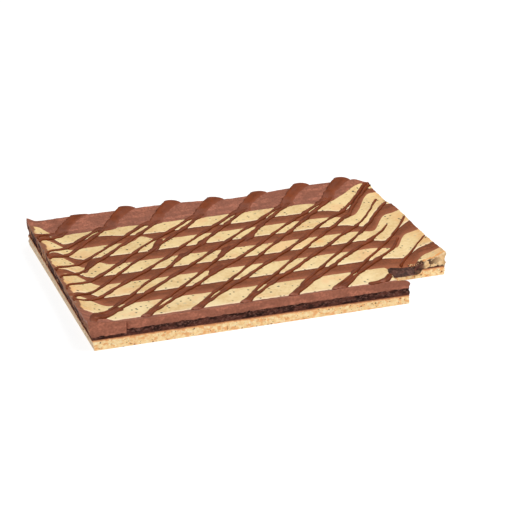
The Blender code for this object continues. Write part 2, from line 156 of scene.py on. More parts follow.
# Where strand number 0 starts, the lean, the last strand's number, the widths, the sideways shifts
# by strand, and the ways that strands take near the right side
Strand = namedtuple("Strand", "start slope last widths shifts tails")
# Depths at which the widths and the shifts are given
LEVELS = (0.027, 0.050, 0.088, 0.137, 0.183, 0.222)
ZIG = Strand(0.054, 1.020, 5, (0.0050, 0.0042, 0.0036, 0.0037, 0.0047, 0.0050), {
    -4: (0.0, 0.0, 0.0, 0.0, -0.001, -0.005),
    -3: (0.0, 0.0, 0.0, -0.002, -0.001, 0.001),
    -2: (0.0, 0.0, -0.001, -0.003, -0.002, 0.0),
    -1: (0.0, 0.0, -0.0007, 0.0, 0.0, -0.001),
    0: (0.0, -0.001, 0.0007, -0.001, -0.0007, -0.002),
    1: (0.001, 0.0, 0.0007, -0.0017, -0.002, -0.003),
    2: (0.0015, -0.002, -0.0013, -0.003, -0.0015, 0.0),
    3: (0.0015, -0.0015, -0.0027, -0.004, 0.0, 0.0),
    4: (-0.003, -0.002, -0.0043, 0.0, 0.0, 0.0),
    5: (-0.002, 0.0, 0.0, 0.0, 0.0, 0.0),
}, {
    2: ((0.327, 0.190), (0.335, 0.204), (0.346, 0.221), (0.357, 0.236), (0.366, 0.251),
        (0.380, 0.264)),
    3: ((0.324, 0.145), (0.343, 0.165), (0.358, 0.190), (0.369, 0.204), (0.3805, 0.215)),
    4: ((0.329, 0.101), (0.343, 0.117), (0.355, 0.130), (0.361, 0.138), (0.370, 0.150),
        (0.3805, 0.163)),
    5: ((0.3325, 0.0534), (0.340, 0.066), (0.347, 0.073), (0.359, 0.087), (0.368, 0.098),
        (0.3805, 0.108)),
})
ZAG = Strand(0.062, 1.165, 4, (0.0050, 0.0044, 0.0050, 0.0045, 0.0036, 0.0047), {
    -5: (0.0, 0.0, 0.0, 0.0, 0.0, -0.004),
    -4: (0.0, 0.0, 0.0, 0.0, 0.001, -0.001),
    -3: (0.0, 0.0, 0.0, 0.0037, -0.0023, 0.0),
    -2: (0.0, 0.0, -0.0005, 0.0037, 0.0007, 0.0),
    -1: (0.0, -0.001, 0.0, 0.002, 0.0007, 0.001),
    0: (-0.004, -0.003, -0.0007, 0.0033, -0.0013, 0.0),
    1: (-0.003, -0.003, 0.0, 0.0017, -0.0027, 0.0),
    2: (-0.003, -0.005, -0.0017, -0.002, 0.0, 0.0),
    3: (-0.003, -0.004, -0.0067, -0.004, 0.0, 0.0),
    4: (-0.002, -0.0072, -0.006, 0.0, 0.0, 0.0),
}, {
    1: ((0.322, 0.201), (0.334, 0.213), (0.344, 0.226), (0.352, 0.236), (0.362, 0.251),
        (0.377, 0.266)),
    2: ((0.325, 0.161), (0.333, 0.169), (0.344, 0.183), (0.352, 0.193), (0.363, 0.210),
        (0.372, 0.225)),
    3: ((0.317, 0.116), (0.331, 0.128), (0.343, 0.137), (0.350, 0.145), (0.358, 0.156)),
    4: ((0.320, 0.079), (0.334, 0.088), (0.343, 0.097), (0.350, 0.108), (0.356, 0.120)),
})
# Where a strand leaves its straight way for its way near the right side
TAIL_GAP = 0.002
TAIL_STEP = 0.006
# Depths to which drizzle fills the gap between the two strands of a pair, where they start
POOLS = {-1: 0.036, 0: 0.038, 1: 0.041, 2: 0.042, 3: 0.058, 4: 0.046}
POOL_WIDTH = 0.0046
# Beside the left edge a strand bends steeply down: place in X, and fall in Y, which varies
HOOK = ((0.0014, -0.0230), (0.0018, -0.0160), (0.0028, -0.0095), (0.0050, -0.0040), (0.0090, 0.0))
HOOK_MEAN = 0.55
HOOK_VARIES = 0.8
HOOK_JOINT = 4
# Nearer to the front than this, strands end beside the edge instead
HOOKED_FROM = 0.045
UNHOOKED_END = 0.0153
# Thicker smears, with how far they fade towards their last point: over the front left corner,
# beside the near cut, near the left edge, and where strands run together in the middle
Smear = namedtuple("Smear", "path widths fade taper")
SMEARS = (
    Smear(((0.040, 0.046), (0.030, 0.041), (0.022, 0.038), (0.015, 0.035), (0.0100, 0.028),
           (0.0075, 0.018), (0.0062, 0.008), (0.0060, 0.002)), (0.0085, 0.0100), 1.0, 0.003),
    Smear(((0.286, 0.0214), (0.298, 0.0225), (0.309, 0.0260), (0.3165, 0.0315), (0.3188, 0.0370)),
          (0.0072, 0.0116), 0.0, 0.006),
    Smear(((0.0440, 0.1650), (0.0365, 0.1560), (0.0310, 0.1450), (0.0280, 0.1380)),
          (0.0062,), 0.0, 0.010),
    Smear(((0.1230, 0.1970), (0.1150, 0.1820), (0.1080, 0.1690)), (0.0082,), 0.0, 0.012),
    Smear(((0.1540, 0.1660), (0.1625, 0.1760), (0.1720, 0.1870)), (0.0070,), 0.0, 0.014),
    Smear(((0.2040, 0.1645), (0.2150, 0.1775), (0.2255, 0.1895)), (0.0082,), 0.0, 0.014),
    Smear(((0.1660, 0.1340), (0.1760, 0.1460), (0.1860, 0.1570)), (0.0074,), 0.0, 0.014),
    Smear(((0.1430, 0.0940), (0.1525, 0.1040), (0.1630, 0.1150)), (0.0072,), 0.0, 0.014),
    Smear(((0.1145, 0.1295), (0.1245, 0.1410), (0.1350, 0.1530)), (0.0068,), 0.0, 0.014),
)
# Height of the pools and of the smears, as shares of a strand's
POOL_HEIGHT = 0.8
SMEAR_HEIGHT = 0.7

# Ribbons: where two strands turn at the back rim. Depth, left edge and right edge of one
RIBBON = ((0.234, 0.114, 0.129), (0.238, 0.1155, 0.138), (0.242, 0.121, 0.1405),
          (0.248, 0.1265, 0.141), (0.254, 0.1305, 0.145), (0.260, 0.137, 0.152),
          (0.264, 0.142, 0.158), (0.2685, 0.147, 0.167))
# How far each ribbon lies from that one, how high it stands on the rim, its height on the field,
# and between which depths it climbs
RIBBON_AT = (-0.1020, -0.0500, 0.0, 0.0480, 0.0970, 0.1455, 0.1925)
RIBBON_HIGH = (0.0012, 0.0038, 0.0040, 0.0034, 0.0036, 0.0042, 0.0046)
RIBBON_LOW = 0.0013
RIBBON_CLIMBS = (0.254, 0.266)
RIBBON_STEP = 0.0014
RIBBON_LIP = 0.0008
RIBBON_SINK = 0.00015
# Unevenness of its left and its right edge
RIBBON_WAVES = (((0.0005, 0.006),), ((0.0010, 0.006),))
# A ribbon starts low and narrow
RIBBON_START = 0.004
RIBBON_START_HEIGHT = 0.1
RIBBON_START_WIDTH = 0.25
# Shares of a ribbon's width and of its height, from the left to the right, and its feet
RIBBON_SECTION = ((0.0, 0.0), (0.02, 0.50), (0.07, 0.86), (0.18, 1.0), (0.34, 1.0), (0.50, 0.92),
                  (0.66, 0.76), (0.80, 0.52), (0.92, 0.24), (1.0, 0.0))
RIBBON_FEET = (0.9, 0.1)
# How thin a ribbon is, how much thinner it gets towards its right edge and from where, and how
# wide the painted shade along its left edge is
RIBBON_THIN = 0.14
RIBBON_THINS_BY = 0.40
RIBBON_THINS_FROM = 0.66
RIBBON_SHADE_WIDTH = 0.12

TINY = 1e-5


class SheetSize(bpy.types.PropertyGroup):
    """Sizes that can be changed before the pieces are made."""

    surface_step: FloatProperty(
        name="Surface step", description="Distance between points of the baked top",
        default=0.0016, min=0.0008, max=0.01, unit="LENGTH")
    biscuit_step: FloatProperty(
        name="Biscuit step", description="Distance between points of the biscuit's side",
        default=0.0011, min=0.0006, max=0.01, unit="LENGTH")
    skin_relief: FloatProperty(
        name="Skin relief", description="Height of the wrinkles in the baked skin",
        default=0.00022, min=0.0, max=0.002, unit="LENGTH")
    crumb_relief: FloatProperty(
        name="Crumb relief", description="Depth of the crags in a torn or cut side",
        default=0.0012, min=0.0, max=0.003, unit="LENGTH")
    crumb_count: IntProperty(
        name="Crumbs", description="Number of loose crumbs of each kind",
        default=160, min=0, max=1000)
    drizzle_height: FloatProperty(
        name="Drizzle height", description="Height of a single strand of drizzle",
        default=0.0014, min=0.0005, max=0.004, unit="LENGTH")


class SheetLook(bpy.types.PropertyGroup):
    """Colours of the bake."""

    skin: FloatVectorProperty(
        name="Brownie skin", description="Colour of the baked chocolate top",
        subtype="COLOR", default=(0.340, 0.121, 0.073), min=0.0, max=1.0)
    inner_skin: FloatVectorProperty(
        name="Inner brownie bands", description="Colour of the brownie bands inside the rims",
        subtype="COLOR", default=(0.235, 0.064, 0.022), min=0.0, max=1.0)
    dough: FloatVectorProperty(
        name="Pale dough", description="Colour of the pale dough bands",
        subtype="COLOR", default=(0.775, 0.515, 0.22), min=0.0, max=1.0)
    crumb: FloatVectorProperty(
        name="Brownie crumb", description="Colour of the brownie inside",
        subtype="COLOR", default=(0.086, 0.027, 0.018), min=0.0, max=1.0)
    drizzle: FloatVectorProperty(
        name="Drizzle", description="Colour of the chocolate drizzle",
        subtype="COLOR", default=(0.150, 0.032, 0.008), min=0.0, max=1.0)
    biscuit: FloatVectorProperty(
        name="Biscuit", description="Colour of the biscuit base",
        subtype="COLOR", default=(0.99, 0.635, 0.275), min=0.0, max=1.0)


# Shape of the sheet


def smooth(start, end, value):
    """Ease from 0 at start to 1 at end."""
    t = min(max((value - start) / (end - start), 0.0), 1.0)
    return t * t * (3.0 - 2.0 * t)


def bell(value, centre, width):
    """A bell curve of height 1."""
    return math.exp(-((value - centre) / width) ** 2)


def wave(x, y, scale, seed):
    """Soft unevenness between about -1 and 1."""
    return noise.noise(Vector((x / scale, y / scale, seed)))


def waves(x, y, sizes, seed):
    """A sum of soft unevenness, each with its height and its scale."""
    return sum(height * wave(x, y, scale, seed + i) for i, (height, scale) in enumerate(sizes))


def biscuit_top(x):
    """Height of the biscuit's upper side, thinner towards the right."""
    return BISCUIT_LEFT + (BISCUIT_RIGHT - BISCUIT_LEFT) * x / LENGTH


def crest(rim, along):
    """Height of a rim's crest at a place along its edge."""
    height, changes = rim
    return height + sum(change * smooth(start, end, along) for change, start, end in changes)


def rise(distance, reach):
    """Share of a rim's height at a distance in from its edge."""
    return max(1.0 - distance / reach, 0.0) ** RIM_POWER


def cut_drop(x, y, height):
    """The top rounds off beside the two cut faces of the notch."""
    firm = 0.0
    if x > CUT_X:
        firm = max(smooth(CUT_FIRM_FROM, CUT_FIRM_TO, x),
                   CORNER_FIRM * (1.0 - smooth(CUT_X, CUT_X + CORNER_FIRM_REACH, x)))
        gap = y - NOTCH_DEPTH
    elif y < NOTCH_DEPTH:
        gap = CUT_X - x
    else:
        gap = math.hypot(CUT_X - x, y - NOTCH_DEPTH)
    near = max(1.0 - gap / CUT_REACH, 0.0)
    return CUT_DROP * (1.0 - firm) * near ** 2 * height / FIELD_LEFT


def top_height(x, y):
    """Height of the baked top: a flat field that climbs to the rim on all four sides."""
    x = min(max(x, 0.0), LENGTH)
    y = min(max(y, 0.0), DEPTH)
    field = FIELD_LEFT + (FIELD_RIGHT - FIELD_LEFT) * x / LENGTH
    sag = BACK_SAG * bell(x, BACK_SAG_AT, BACK_SAG_WIDTH)
    rims = (
        (crest(FRONT_CREST, x), y, FRONT_RIM),
        (crest(BACK_CREST, x) - sag, DEPTH - y, BACK_RIM),
        (crest(LEFT_CREST, y), x, SIDE_RIM),
        (crest(RIGHT_CREST, y), LENGTH - x, SIDE_RIM),
    )
    total = sum(max((peak - field) * rise(gap, reach), 0.0) ** 3 for peak, gap, reach in rims)
    height = field + total ** (1.0 / 3.0) + UNEVEN * wave(x, y, UNEVEN_SCALE, 1.0)
    return height - cut_drop(x, y, height)


def torn(x, y, z):
    """How far a point near the near cut lies back from where a straight cut would leave it."""
    if x > CUT_X + TINY or not TORN_FROM[0] < y < TORN_TO[1]:
        return 0.0
    along = smooth(*TORN_FROM, y) * (1.0 - smooth(*TORN_TO, y))
    high = smooth(biscuit_top(x), biscuit_top(x) + TORN_FOOT, z)
    uneven = 1.0 + TORN_WAVE * wave(y, z, TORN_SCALE, 81.0)
    return TORN * along * high * uneven * smooth(CUT_X - TORN_REACH, CUT_X, x)


def flared(x, y, z):
    """Lean the outer sides outwards with height, as the walls of the tray did."""
    x -= torn(x, y, z)
    share = z / FLARE_HEIGHT
    left = LEFT_FLARE_FRONT + (LEFT_FLARE_BACK - LEFT_FLARE_FRONT) * smooth(0.0, DEPTH, y)
    out_x = RIGHT_FLARE * max(1.0 - (LENGTH - x) / FLARE_REACH, 0.0)
    out_x -= left * max(1.0 - x / FLARE_REACH, 0.0)
    out_y = BACK_FLARE * max(1.0 - (DEPTH - y) / FLARE_REACH, 0.0)
    out_y -= FRONT_FLARE * max(1.0 - y / FLARE_REACH, 0.0)
    return x + out_x * share, y + out_y * share, z


def place(x, y, z):
    """Sheet coordinates to the part's frame."""
    centre_x = (LENGTH + RIGHT_FLARE - LEFT_FLARE_FRONT) / 2.0
    centre_y = (DEPTH + BACK_FLARE - FRONT_FLARE) / 2.0
    return Vector((x - centre_x, y - centre_y, z))


def on_top(x, y, up):
    """The place of a point that lies a little above or below the baked top."""
    return place(*flared(x, y, top_height(x, y) + up))


def crags(x, y, z, sizes):
    """Rough unevenness, as a sum of heights and scales."""
    return sum(height * noise.noise(Vector((x, y, z)) / scale) for height, scale in sizes)


def edge_y(row, x):
    """Depth of a band edge at x."""
    edge = EDGES[row]
    x = min(max(x, 0.0), LENGTH)
    y = edge.level
    y += edge.left * (1.0 - smooth(edge.left_from, edge.left_to, x))
    y -= edge.settle * (1.0 - smooth(0.0, SETTLE_REACH, x))
    y -= edge.dip * bell(x, edge.dip_at, DIP_WIDTH)
    y += edge.right * smooth(edge.right_from, edge.right_to, x)
    for which, height, centre, width in SWELLS:
        if which == row:
            y += height * bell(x, centre, width)
    return y + EDGE_WOBBLE * wave(x, 0.0, EDGE_WOBBLE_SCALE, 60.0 + row)


def sides_at(x, y):
    """Names of the outer and cut sides on which a point of the plan lies."""
    sides = set()
    if x < TINY:
        sides.add("left")
    if x > LENGTH - TINY:
        sides.add("right")
    if y < TINY:
        sides.add("front")
    if y > DEPTH - TINY:
        sides.add("back")
    if abs(x - CUT_X) < TINY and y < NOTCH_DEPTH + TINY:
        sides.add("near cut")
    if abs(y - NOTCH_DEPTH) < TINY and x > CUT_X - TINY:
        sides.add("far cut")
    return sides


OUT = {"left": (-1, 0), "right": (1, 0), "front": (0, -1), "back": (0, 1),
       "near cut": (1, 0), "far cut": (0, -1)}
CUT_SIDES = {"near cut", "far cut"}


def outward(sides):
    """Direction out of the sheet at a point that lies on some of its sides."""
    out_x = sum(OUT[side][0] for side in sides)
    out_y = sum(OUT[side][1] for side in sides)
    return float(out_x), float(out_y)


# Sides of the baked layer

# Height at which the skin ends, and how ragged that edge is
SKIN_FRONT = 0.0185
SKIN_SIDE = 0.0175
SKIN_SLOPE = 0.0012
SKIN_RAGGED = ((0.0013, 0.006), (0.00065, 0.0025))
SKIN_LEAST = 0.002
SKIN_BULGE = 0.0003
SKIN_TUCK = 0.0002
CUT_SKIN = 0.0009
CUT_SKIN_WAVE = 0.00045
CUT_SKIN_SCALE = 0.006
# The flap of skin at the left end of the front side, and the groove beside it
FLAP_DROP = 0.0034
FLAP_FROM = 0.0322
FLAP_TO = 0.0338
FLAP_PROUD = 0.0011
FLAP_EASE = 0.35
GROOVE_DEPTH = 0.0028
GROOVE_AT = 0.0339
GROOVE_WIDTH = 0.0010
# How far the crumb lies back under the skin, and its crags
CRUMB_TUCK = 0.0010
CUT_TUCK = 0.0003
CRUMB_CRAGS = ((1.0, 0.0034), (0.6, 0.00153))
# The crumb hangs over the biscuit in the far cut
LIP_OUT = 0.0024
LIP_DROP = 0.0050
LIP_SHARES = {0.42: 0.2, 0.56: 0.45, 0.70: 0.75, 0.84: 1.0}
# Shares of the way down the skin, then of the way down the crumb under it
SKIN_RINGS = (0.08, 0.24, 0.42, 0.60, 0.78, 0.92, 1.0)
CRUMB_RINGS = (0.04, 0.14, 0.28, 0.42, 0.56, 0.70, 0.84, 1.0)


def skin_edge(x, y, sides):
    """Height at which the baked skin ends on a side: ragged, and lower on the flap at the left."""
    top = top_height(x, y)
    if sides & CUT_SIDES:
        return top - CUT_SKIN - CUT_SKIN_WAVE * wave(x, y, CUT_SKIN_SCALE, 3.0)
    level = SKIN_FRONT if "front" in sides else SKIN_SIDE
    flap = FLAP_DROP * (1.0 - smooth(FLAP_FROM, FLAP_TO, x)) if "front" in sides else 0.0
    level += waves(x, y, SKIN_RAGGED, 4.0) - SKIN_SLOPE * x / LENGTH - flap
    return min(level, top - SKIN_LEAST)


def skin_out(x, sides, share):
    """How far the skin of a side stands out, part of the way down."""
    out = 0.0 if sides & CUT_SIDES else SKIN_BULGE * math.sin(math.pi * share)
    if share == 1.0:
        out -= SKIN_TUCK
    if sides == {"front"}:
        flap = FLAP_PROUD * (1.0 - smooth(FLAP_FROM, FLAP_TO, x))
        groove = GROOVE_DEPTH * bell(x, GROOVE_AT, GROOVE_WIDTH)
        out += (flap - groove) * smooth(0.0, FLAP_EASE, share)
    return out


def side_point(x, y, ring, size):
    """A point of the layer's side, ring by ring from the crest down to the biscuit."""
    sides = sides_at(x, y)
    top = top_height(x, y)
    edge = skin_edge(x, y, sides)
    if ring < len(SKIN_RINGS):
        share = SKIN_RINGS[ring]
        z = top + (edge - top) * share
        out = skin_out(x, sides, share)
    else:
        share = CRUMB_RINGS[ring - len(SKIN_RINGS)]
        z = edge + (biscuit_top(x) - edge) * share
        out = -CUT_TUCK if sides & CUT_SIDES else -CRUMB_TUCK
        if share < 1.0:
            out += size.crumb_relief * crags(x, y, z, CRUMB_CRAGS)
        if sides == {"far cut"} and x < CUT_FIRM_TO:
            lip = LIP_SHARES.get(share, 0.0) * (1.0 - smooth(CUT_FIRM_FROM, CUT_FIRM_TO, x))
            out += LIP_OUT * lip
            z -= LIP_DROP * lip
    out_x, out_y = outward(sides)
    px, py, pz = flared(x, y, z)
    return place(px + out_x * out, py + out_y * out, pz)


# Mesh helpers


def linked(made):
    """Link an object to the scene. Returns it."""
    bpy.context.scene.collection.objects.link(made)
    return made


def finished(name, bm, materials, replaced, sharp=0.9):
    """Turn a bmesh into a piece that rides on the root body."""
    mesh = bpy.data.meshes.new(name)
    bm.to_mesh(mesh)
    bm.free()
    for material in materials:
        mesh.materials.append(material)
    mesh.shade_smooth()
    mesh.set_sharp_from_angle(angle=sharp)
    piece = linked(bpy.data.objects.new(name, mesh))
    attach(piece, "root")
    if replaced:
        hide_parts(*replaced)
    return piece


def next_ring(bm, rim, plan, point, look=None):
    """Extrude open edges to their next ring, where point() puts it. Returns the new edges.

    look() gives the material number of a new face from the places of its corners in plan.
    """
    old = {vert for edge in rim for vert in edge.verts}
    made = bmesh.ops.extrude_edge_only(bm, edges=rim)["geom"]
    fresh = {item for item in made if isinstance(item, bmesh.types.BMVert)}
    for vert in fresh:
        source = next(e.other_vert(vert) for e in vert.link_edges if e.other_vert(vert) in old)
        plan[vert] = plan[source]
    for vert in fresh:
        where = plan[vert]
        vert.co = point(*where) if isinstance(where, tuple) else point(where)
    for item in made:
        if look and isinstance(item, bmesh.types.BMFace):
            item.material_index = look([plan[vert] for vert in item.verts])
    return [item for item in made if isinstance(item, bmesh.types.BMEdge)
            and all(vert in fresh for vert in item.verts)]


# Bands


TOP, INSIDE, BAKED_SIDE = range(3)
LEAST_BAND = 0.0002
# Height of a band's own soft crown, brownie and dough
BAND_CROWN = (0.0000, 0.0003)
# The left tip of the parted end
END_TIP = 0.3469
# Wrinkles of the skin, drawn out across the bands, and the ragged right edge
WRINKLE_SCALE = 0.0048
WRINKLE_STRETCH = 0.45
FINE_WRINKLE = 0.5
FINE_WRINKLE_SCALE = 0.0021
RIGHT_RAGGED = 0.0011
RIGHT_RAGGED_SCALE = 0.0052
RIGHT_RAGGED_REACH = 0.005
# How far the torn inside of the parted end shows from above, and how deep it counts as
TORN_TOP = (0.0010, 0.0060)
TORN_TOP_WAVE = 0.002
TORN_TOP_SCALE = 0.005
TORN_TOP_DEPTH = 0.30
TORN_TOP_LEAST = 0.02
# How far the dough is toasted in from the edges, and where else: place and reach
TOAST_REACH = 0.020
LEFT_TOAST = 1.4
LEFT_TOAST_REACH = 0.018
SPOT_TOAST = 1.6
TOASTED = ((0.2755, 0.1400, 0.0065),)
WRAP_REACH = 0.013
# Rings of the left side that the skin of the top wraps over
LEFT_SKIN_RINGS = 2


def band_sides(row, x):
    """Depths at x of the two edges between which a band lies."""
    near = edge_y(row - 1, x) if row > 0 else 0.0
    far = edge_y(row, x) if row < len(EDGES) else DEPTH
    if x > CUT_X:
        near = max(near, NOTCH_DEPTH)
        far = max(far, near + LEAST_BAND)
    return near, far


def top_point(x, y, crown, size):
    """A point of the baked top, with the skin's fine wrinkles and a band's own soft crown."""
    wrinkles = wave(x, y * WRINKLE_STRETCH, WRINKLE_SCALE, 11.0)
    wrinkles += FINE_WRINKLE * wave(x, y, FINE_WRINKLE_SCALE, 12.0)
    ragged = RIGHT_RAGGED * wave(x, y, RIGHT_RAGGED_SCALE, 14.0)
    ragged *= smooth(LENGTH - RIGHT_RAGGED_REACH, LENGTH, x)
    return on_top(x, y, size.skin_relief * wrinkles + crown + ragged)


def toasted(x, y):
    """How strongly the dough is toasted: along the edges and on single spots."""
    spots = [SPOT_TOAST * bell(math.dist((x, y), spot), 0.0, reach) for *spot, reach in TOASTED]
    return max(LEFT_TOAST * (1.0 - smooth(0.0, LEFT_TOAST_REACH, x)),
               1.0 - smooth(0.0, TOAST_REACH, min(LENGTH - x, DEPTH - y)), *spots)


def band_grid(row, x_from, x_to, size):
    """The top of a band as a grid that follows its two edges, and where each point lies in plan."""
    middle = (x_from + x_to) / 2.0
    near, far = band_sides(row, middle)
    columns = max(round((x_to - x_from) / size.surface_step), 2)
    rows = max(round((far - near) / size.surface_step), 4)
    bm = bmesh.new()
    depth, toast, across, wrap = (bm.verts.layers.float.new(layer)
                                  for layer in ("depth", "toast", "across", "wrap"))
    bmesh.ops.create_grid(bm, x_segments=columns, y_segments=rows, size=1.0)
    plan = {}
    for vert in bm.verts:
        x = x_from + (x_to - x_from) * (vert.co.x + 1.0) / 2.0
        near, far = band_sides(row, x)
        share = (vert.co.y + 1.0) / 2.0
        y = near + (far - near) * share
        plan[vert] = (x, y)
        crown = BAND_CROWN[row % 2] * (4.0 * share * (1.0 - share)) ** 0.5
        vert.co = top_point(x, y, crown, size)
        if x_from > CUT_X:
            back = y - NOTCH_DEPTH + TORN_TOP_WAVE * wave(x, y, TORN_TOP_SCALE, 19.0)
            vert[depth] = TORN_TOP_DEPTH * (1.0 - smooth(*TORN_TOP, back))
        vert[toast] = toasted(x, y)
        vert[across] = share
        vert[wrap] = 1.0 - smooth(0.0, WRAP_REACH, x)
    for face in bm.faces:
        if x_from > CUT_X and all(vert[depth] > TORN_TOP_LEAST for vert in face.verts):
            face.material_index = INSIDE
    return bm, plan


def side_look(corners, ring):
    """Material number of a face on a side: skin, inside or the side baked against the tray."""
    sides = set.intersection(*(sides_at(x, y) for x, y in corners))
    if "left" in sides and ring < LEFT_SKIN_RINGS:
        return TOP
    if sides & {"left", "right", "back"}:
        return BAKED_SIDE
    if "front" in sides:
        return TOP if ring < len(SKIN_RINGS) else INSIDE
    return INSIDE if ring else TOP


def band_piece(node, row, x_from, x_to, size, materials):
    """One band: its top, its outer sides with skin and crumb, and plain hidden sides."""
    bm, plan = band_grid(row, x_from, x_to, size)
    depth = bm.verts.layers.float["depth"]
    rim = [edge for edge in bm.edges if edge.is_boundary]
    for ring in range(len(SKIN_RINGS) + len(CRUMB_RINGS)):
        rim = next_ring(bm, rim, plan, lambda x, y: side_point(x, y, ring, size),
                        lambda corners: side_look(corners, ring))
        share = max(ring - len(SKIN_RINGS) + 1, 0) / len(CRUMB_RINGS)
        for vert in {vert for edge in rim for vert in edge.verts}:
            vert[depth] = max(share, TORN_TOP_DEPTH) if x_from > CUT_X else share
    for face in bmesh.ops.contextual_create(bm, geom=rim)["faces"]:
        face.material_index = INSIDE
    bmesh.ops.recalc_face_normals(bm, faces=bm.faces)
    return finished(f"baked_{node}", bm, materials, [node])


# Materials


class Nodes:
    """A node tree, with short ways to add what the materials share."""

    def __init__(self, tree):
        self.tree = tree

    def join(self, value, socket):
        """Link a socket to another, or set its value."""
        if isinstance(value, bpy.types.NodeSocket):
            self.tree.links.new(value, socket)
        else:
            socket.default_value = value

    def add(self, kind, settings=None, **inputs):
        """Add a node, set its options and set or link its inputs, named with underscores."""
        made = self.tree.nodes.new(kind)
        for name, value in (settings or {}).items():
            setattr(made, name, value)
        for name, value in inputs.items():
            self.join(value, made.inputs[name.replace("_", " ")])
        return made

    def maths(self, operation, *values):
        """Result of a Math node."""
        made = self.add("ShaderNodeMath", {"operation": operation})
        for value, socket in zip(values, made.inputs):
            self.join(value, socket)
        return made.outputs[0]

    def mix(self, factor, first, second):
        """Mix of two colours."""
        made = self.add("ShaderNodeMix", {"data_type": "RGBA"})
        for value, index in ((factor, 0), (first, 6), (second, 7)):
            self.join((*value, 1.0) if isinstance(value, tuple) else value, made.inputs[index])
        return made.outputs[2]

    def remap(self, value, low, high, to_low=0.0, to_high=1.0):
        """A range mapped smoothly to another."""
        made = self.add("ShaderNodeMapRange", {"interpolation_type": "SMOOTHSTEP"}, Value=value,
                        From_Min=low, From_Max=high, To_Min=to_low, To_Max=to_high)
        return made.outputs["Result"]

    def coords(self):
        """Place on the piece, in metres."""
        return self.add("ShaderNodeTexCoord").outputs["Object"]

    def axis(self, name):
        """Place along one axis."""
        return self.add("ShaderNodeSeparateXYZ", Vector=self.coords()).outputs[name]

    def attribute(self, name):
        """A value that is kept on the mesh's points."""
        return self.add("ShaderNodeAttribute", {"attribute_name": name}).outputs["Fac"]

    def noise(self, shares, scale, detail=4.0):
        """Noise drawn out along the axes whose share is below one."""
        drawn = self.add("ShaderNodeMapping", Vector=self.coords(), Scale=shares)
        return self.add("ShaderNodeTexNoise", Vector=drawn.outputs["Vector"], Scale=scale,
                        Detail=detail).outputs["Fac"]

    def shared(self, name, **inputs):
        """Outputs of a shared node group."""
        return self.add("ShaderNodeGroup", {"node_tree": bpy.data.node_groups[name]},
                        **inputs).outputs

    def patches(self, scale, detail, offset=0.0):
        """Soft patches from 0 to 1."""
        return self.shared("food_mottle", Scale=scale, Detail=detail, Offset=offset)["Patches"]

    def specks(self, scale, size, share):
        """Masks of small specks: Core and the wider Mask."""
        return self.shared("food_specks", Scale=scale, Size=size, Share=share)

    def grain(self, scale, detail):
        """Height of a fine grain."""
        return self.shared("food_grain", Scale=scale, Detail=detail)["Height"]


class Paint(Nodes):
    """A material whose base colour is laid on in coats."""

    def __init__(self, name, colour):
        self.material = bpy.data.materials.new(name)
        self.material.use_nodes = True
        super().__init__(self.material.node_tree)
        self.shader = self.tree.nodes["Principled BSDF"]
        self.colour = colour

    def coat(self, mask, colour, amount=1.0):
        """Lay a colour over what is there, as far as the mask goes."""
        mask = mask if amount == 1.0 else self.maths("MULTIPLY", mask, amount)
        self.colour = self.mix(mask, self.colour, colour)

    def finish(self, roughness, specular, height=None, distance=0.0, strength=1.0):
        """Link the colour and the bump and set the sheen. Returns the material."""
        inputs = self.shader.inputs
        self.join(self.colour, inputs["Base Color"])
        if height is not None:
            bump = self.add("ShaderNodeBump", Height=height, Distance=distance, Strength=strength)
            self.join(bump.outputs["Normal"], inputs["Normal"])
        inputs["Roughness"].default_value = roughness
        inputs["Specular IOR Level"].default_value = specular
        return self.material


def new_group(name, inputs, outputs):
    """A shader node group with named float inputs and outputs, and its two ends."""
    group = Nodes(bpy.data.node_groups.new(name, "ShaderNodeTree"))
    sockets = [(socket, "INPUT") for socket in inputs] + [(socket, "OUTPUT") for socket in outputs]
    for socket, way in sockets:
        made = group.tree.interface.new_socket(socket, in_out=way, socket_type="NodeSocketFloat")
        made.default_value = inputs.get(socket, 0.0)
    return group, group.add("NodeGroupInput").outputs, group.add("NodeGroupOutput").inputs


def mottle_group():
    """Soft patches from 0 to 1."""
    group, given, out = new_group(
        "food_mottle", {"Scale": 60.0, "Detail": 3.0, "Offset": 0.0}, ["Patches"])
    texture = group.add("ShaderNodeTexNoise", {"noise_dimensions": "4D"}, Vector=group.coords(),
                        W=given["Offset"], Scale=given["Scale"], Detail=given["Detail"],
                        Roughness=0.55)
    group.join(group.remap(texture.outputs["Fac"], 0.32, 0.68), out["Patches"])


# How far the specks are bent out of round, in metres
SPECK_BEND = (0.0012, 0.0009, 0.0009)


def speck_group():
    """Small specks at random places: a mask for their core and one that is wider and softer."""
    group, given, out = new_group(
        "food_specks", {"Scale": 400.0, "Size": 0.2, "Share": 0.3}, ["Core", "Mask"])
    wobble = group.add("ShaderNodeTexNoise", Vector=group.coords(), Scale=900.0, Detail=1.0)
    bent = group.add("ShaderNodeVectorMath", {"operation": "MULTIPLY_ADD"})
    for value, socket in zip((wobble.outputs["Color"], SPECK_BEND, group.coords()), bent.inputs):
        group.join(value, socket)
    cells = group.add("ShaderNodeTexVoronoi", Vector=bent.outputs[0], Scale=given["Scale"])
    parts = group.add("ShaderNodeSeparateColor", Color=cells.outputs["Color"])
    chosen = group.maths("LESS_THAN", parts.outputs["Red"], given["Share"])
    for name, inner, outer in (("Core", 0.40, 0.62), ("Mask", 0.45, 1.0)):
        limits = [group.maths("MULTIPLY", given["Size"], share) for share in (inner, outer)]
        inside = group.remap(cells.outputs["Distance"], *limits, 1.0, 0.0)
        group.join(group.maths("MULTIPLY", inside, chosen), out[name])


def grain_group():
    """Fine uneven grain as a height between 0 and 1."""
    group, given, out = new_group("food_grain", {"Scale": 900.0, "Detail": 3.0}, ["Height"])
    texture = group.add("ShaderNodeTexNoise", Vector=group.coords(), Scale=given["Scale"],
                        Detail=given["Detail"], Roughness=0.6)
    group.join(texture.outputs["Fac"], out["Height"])


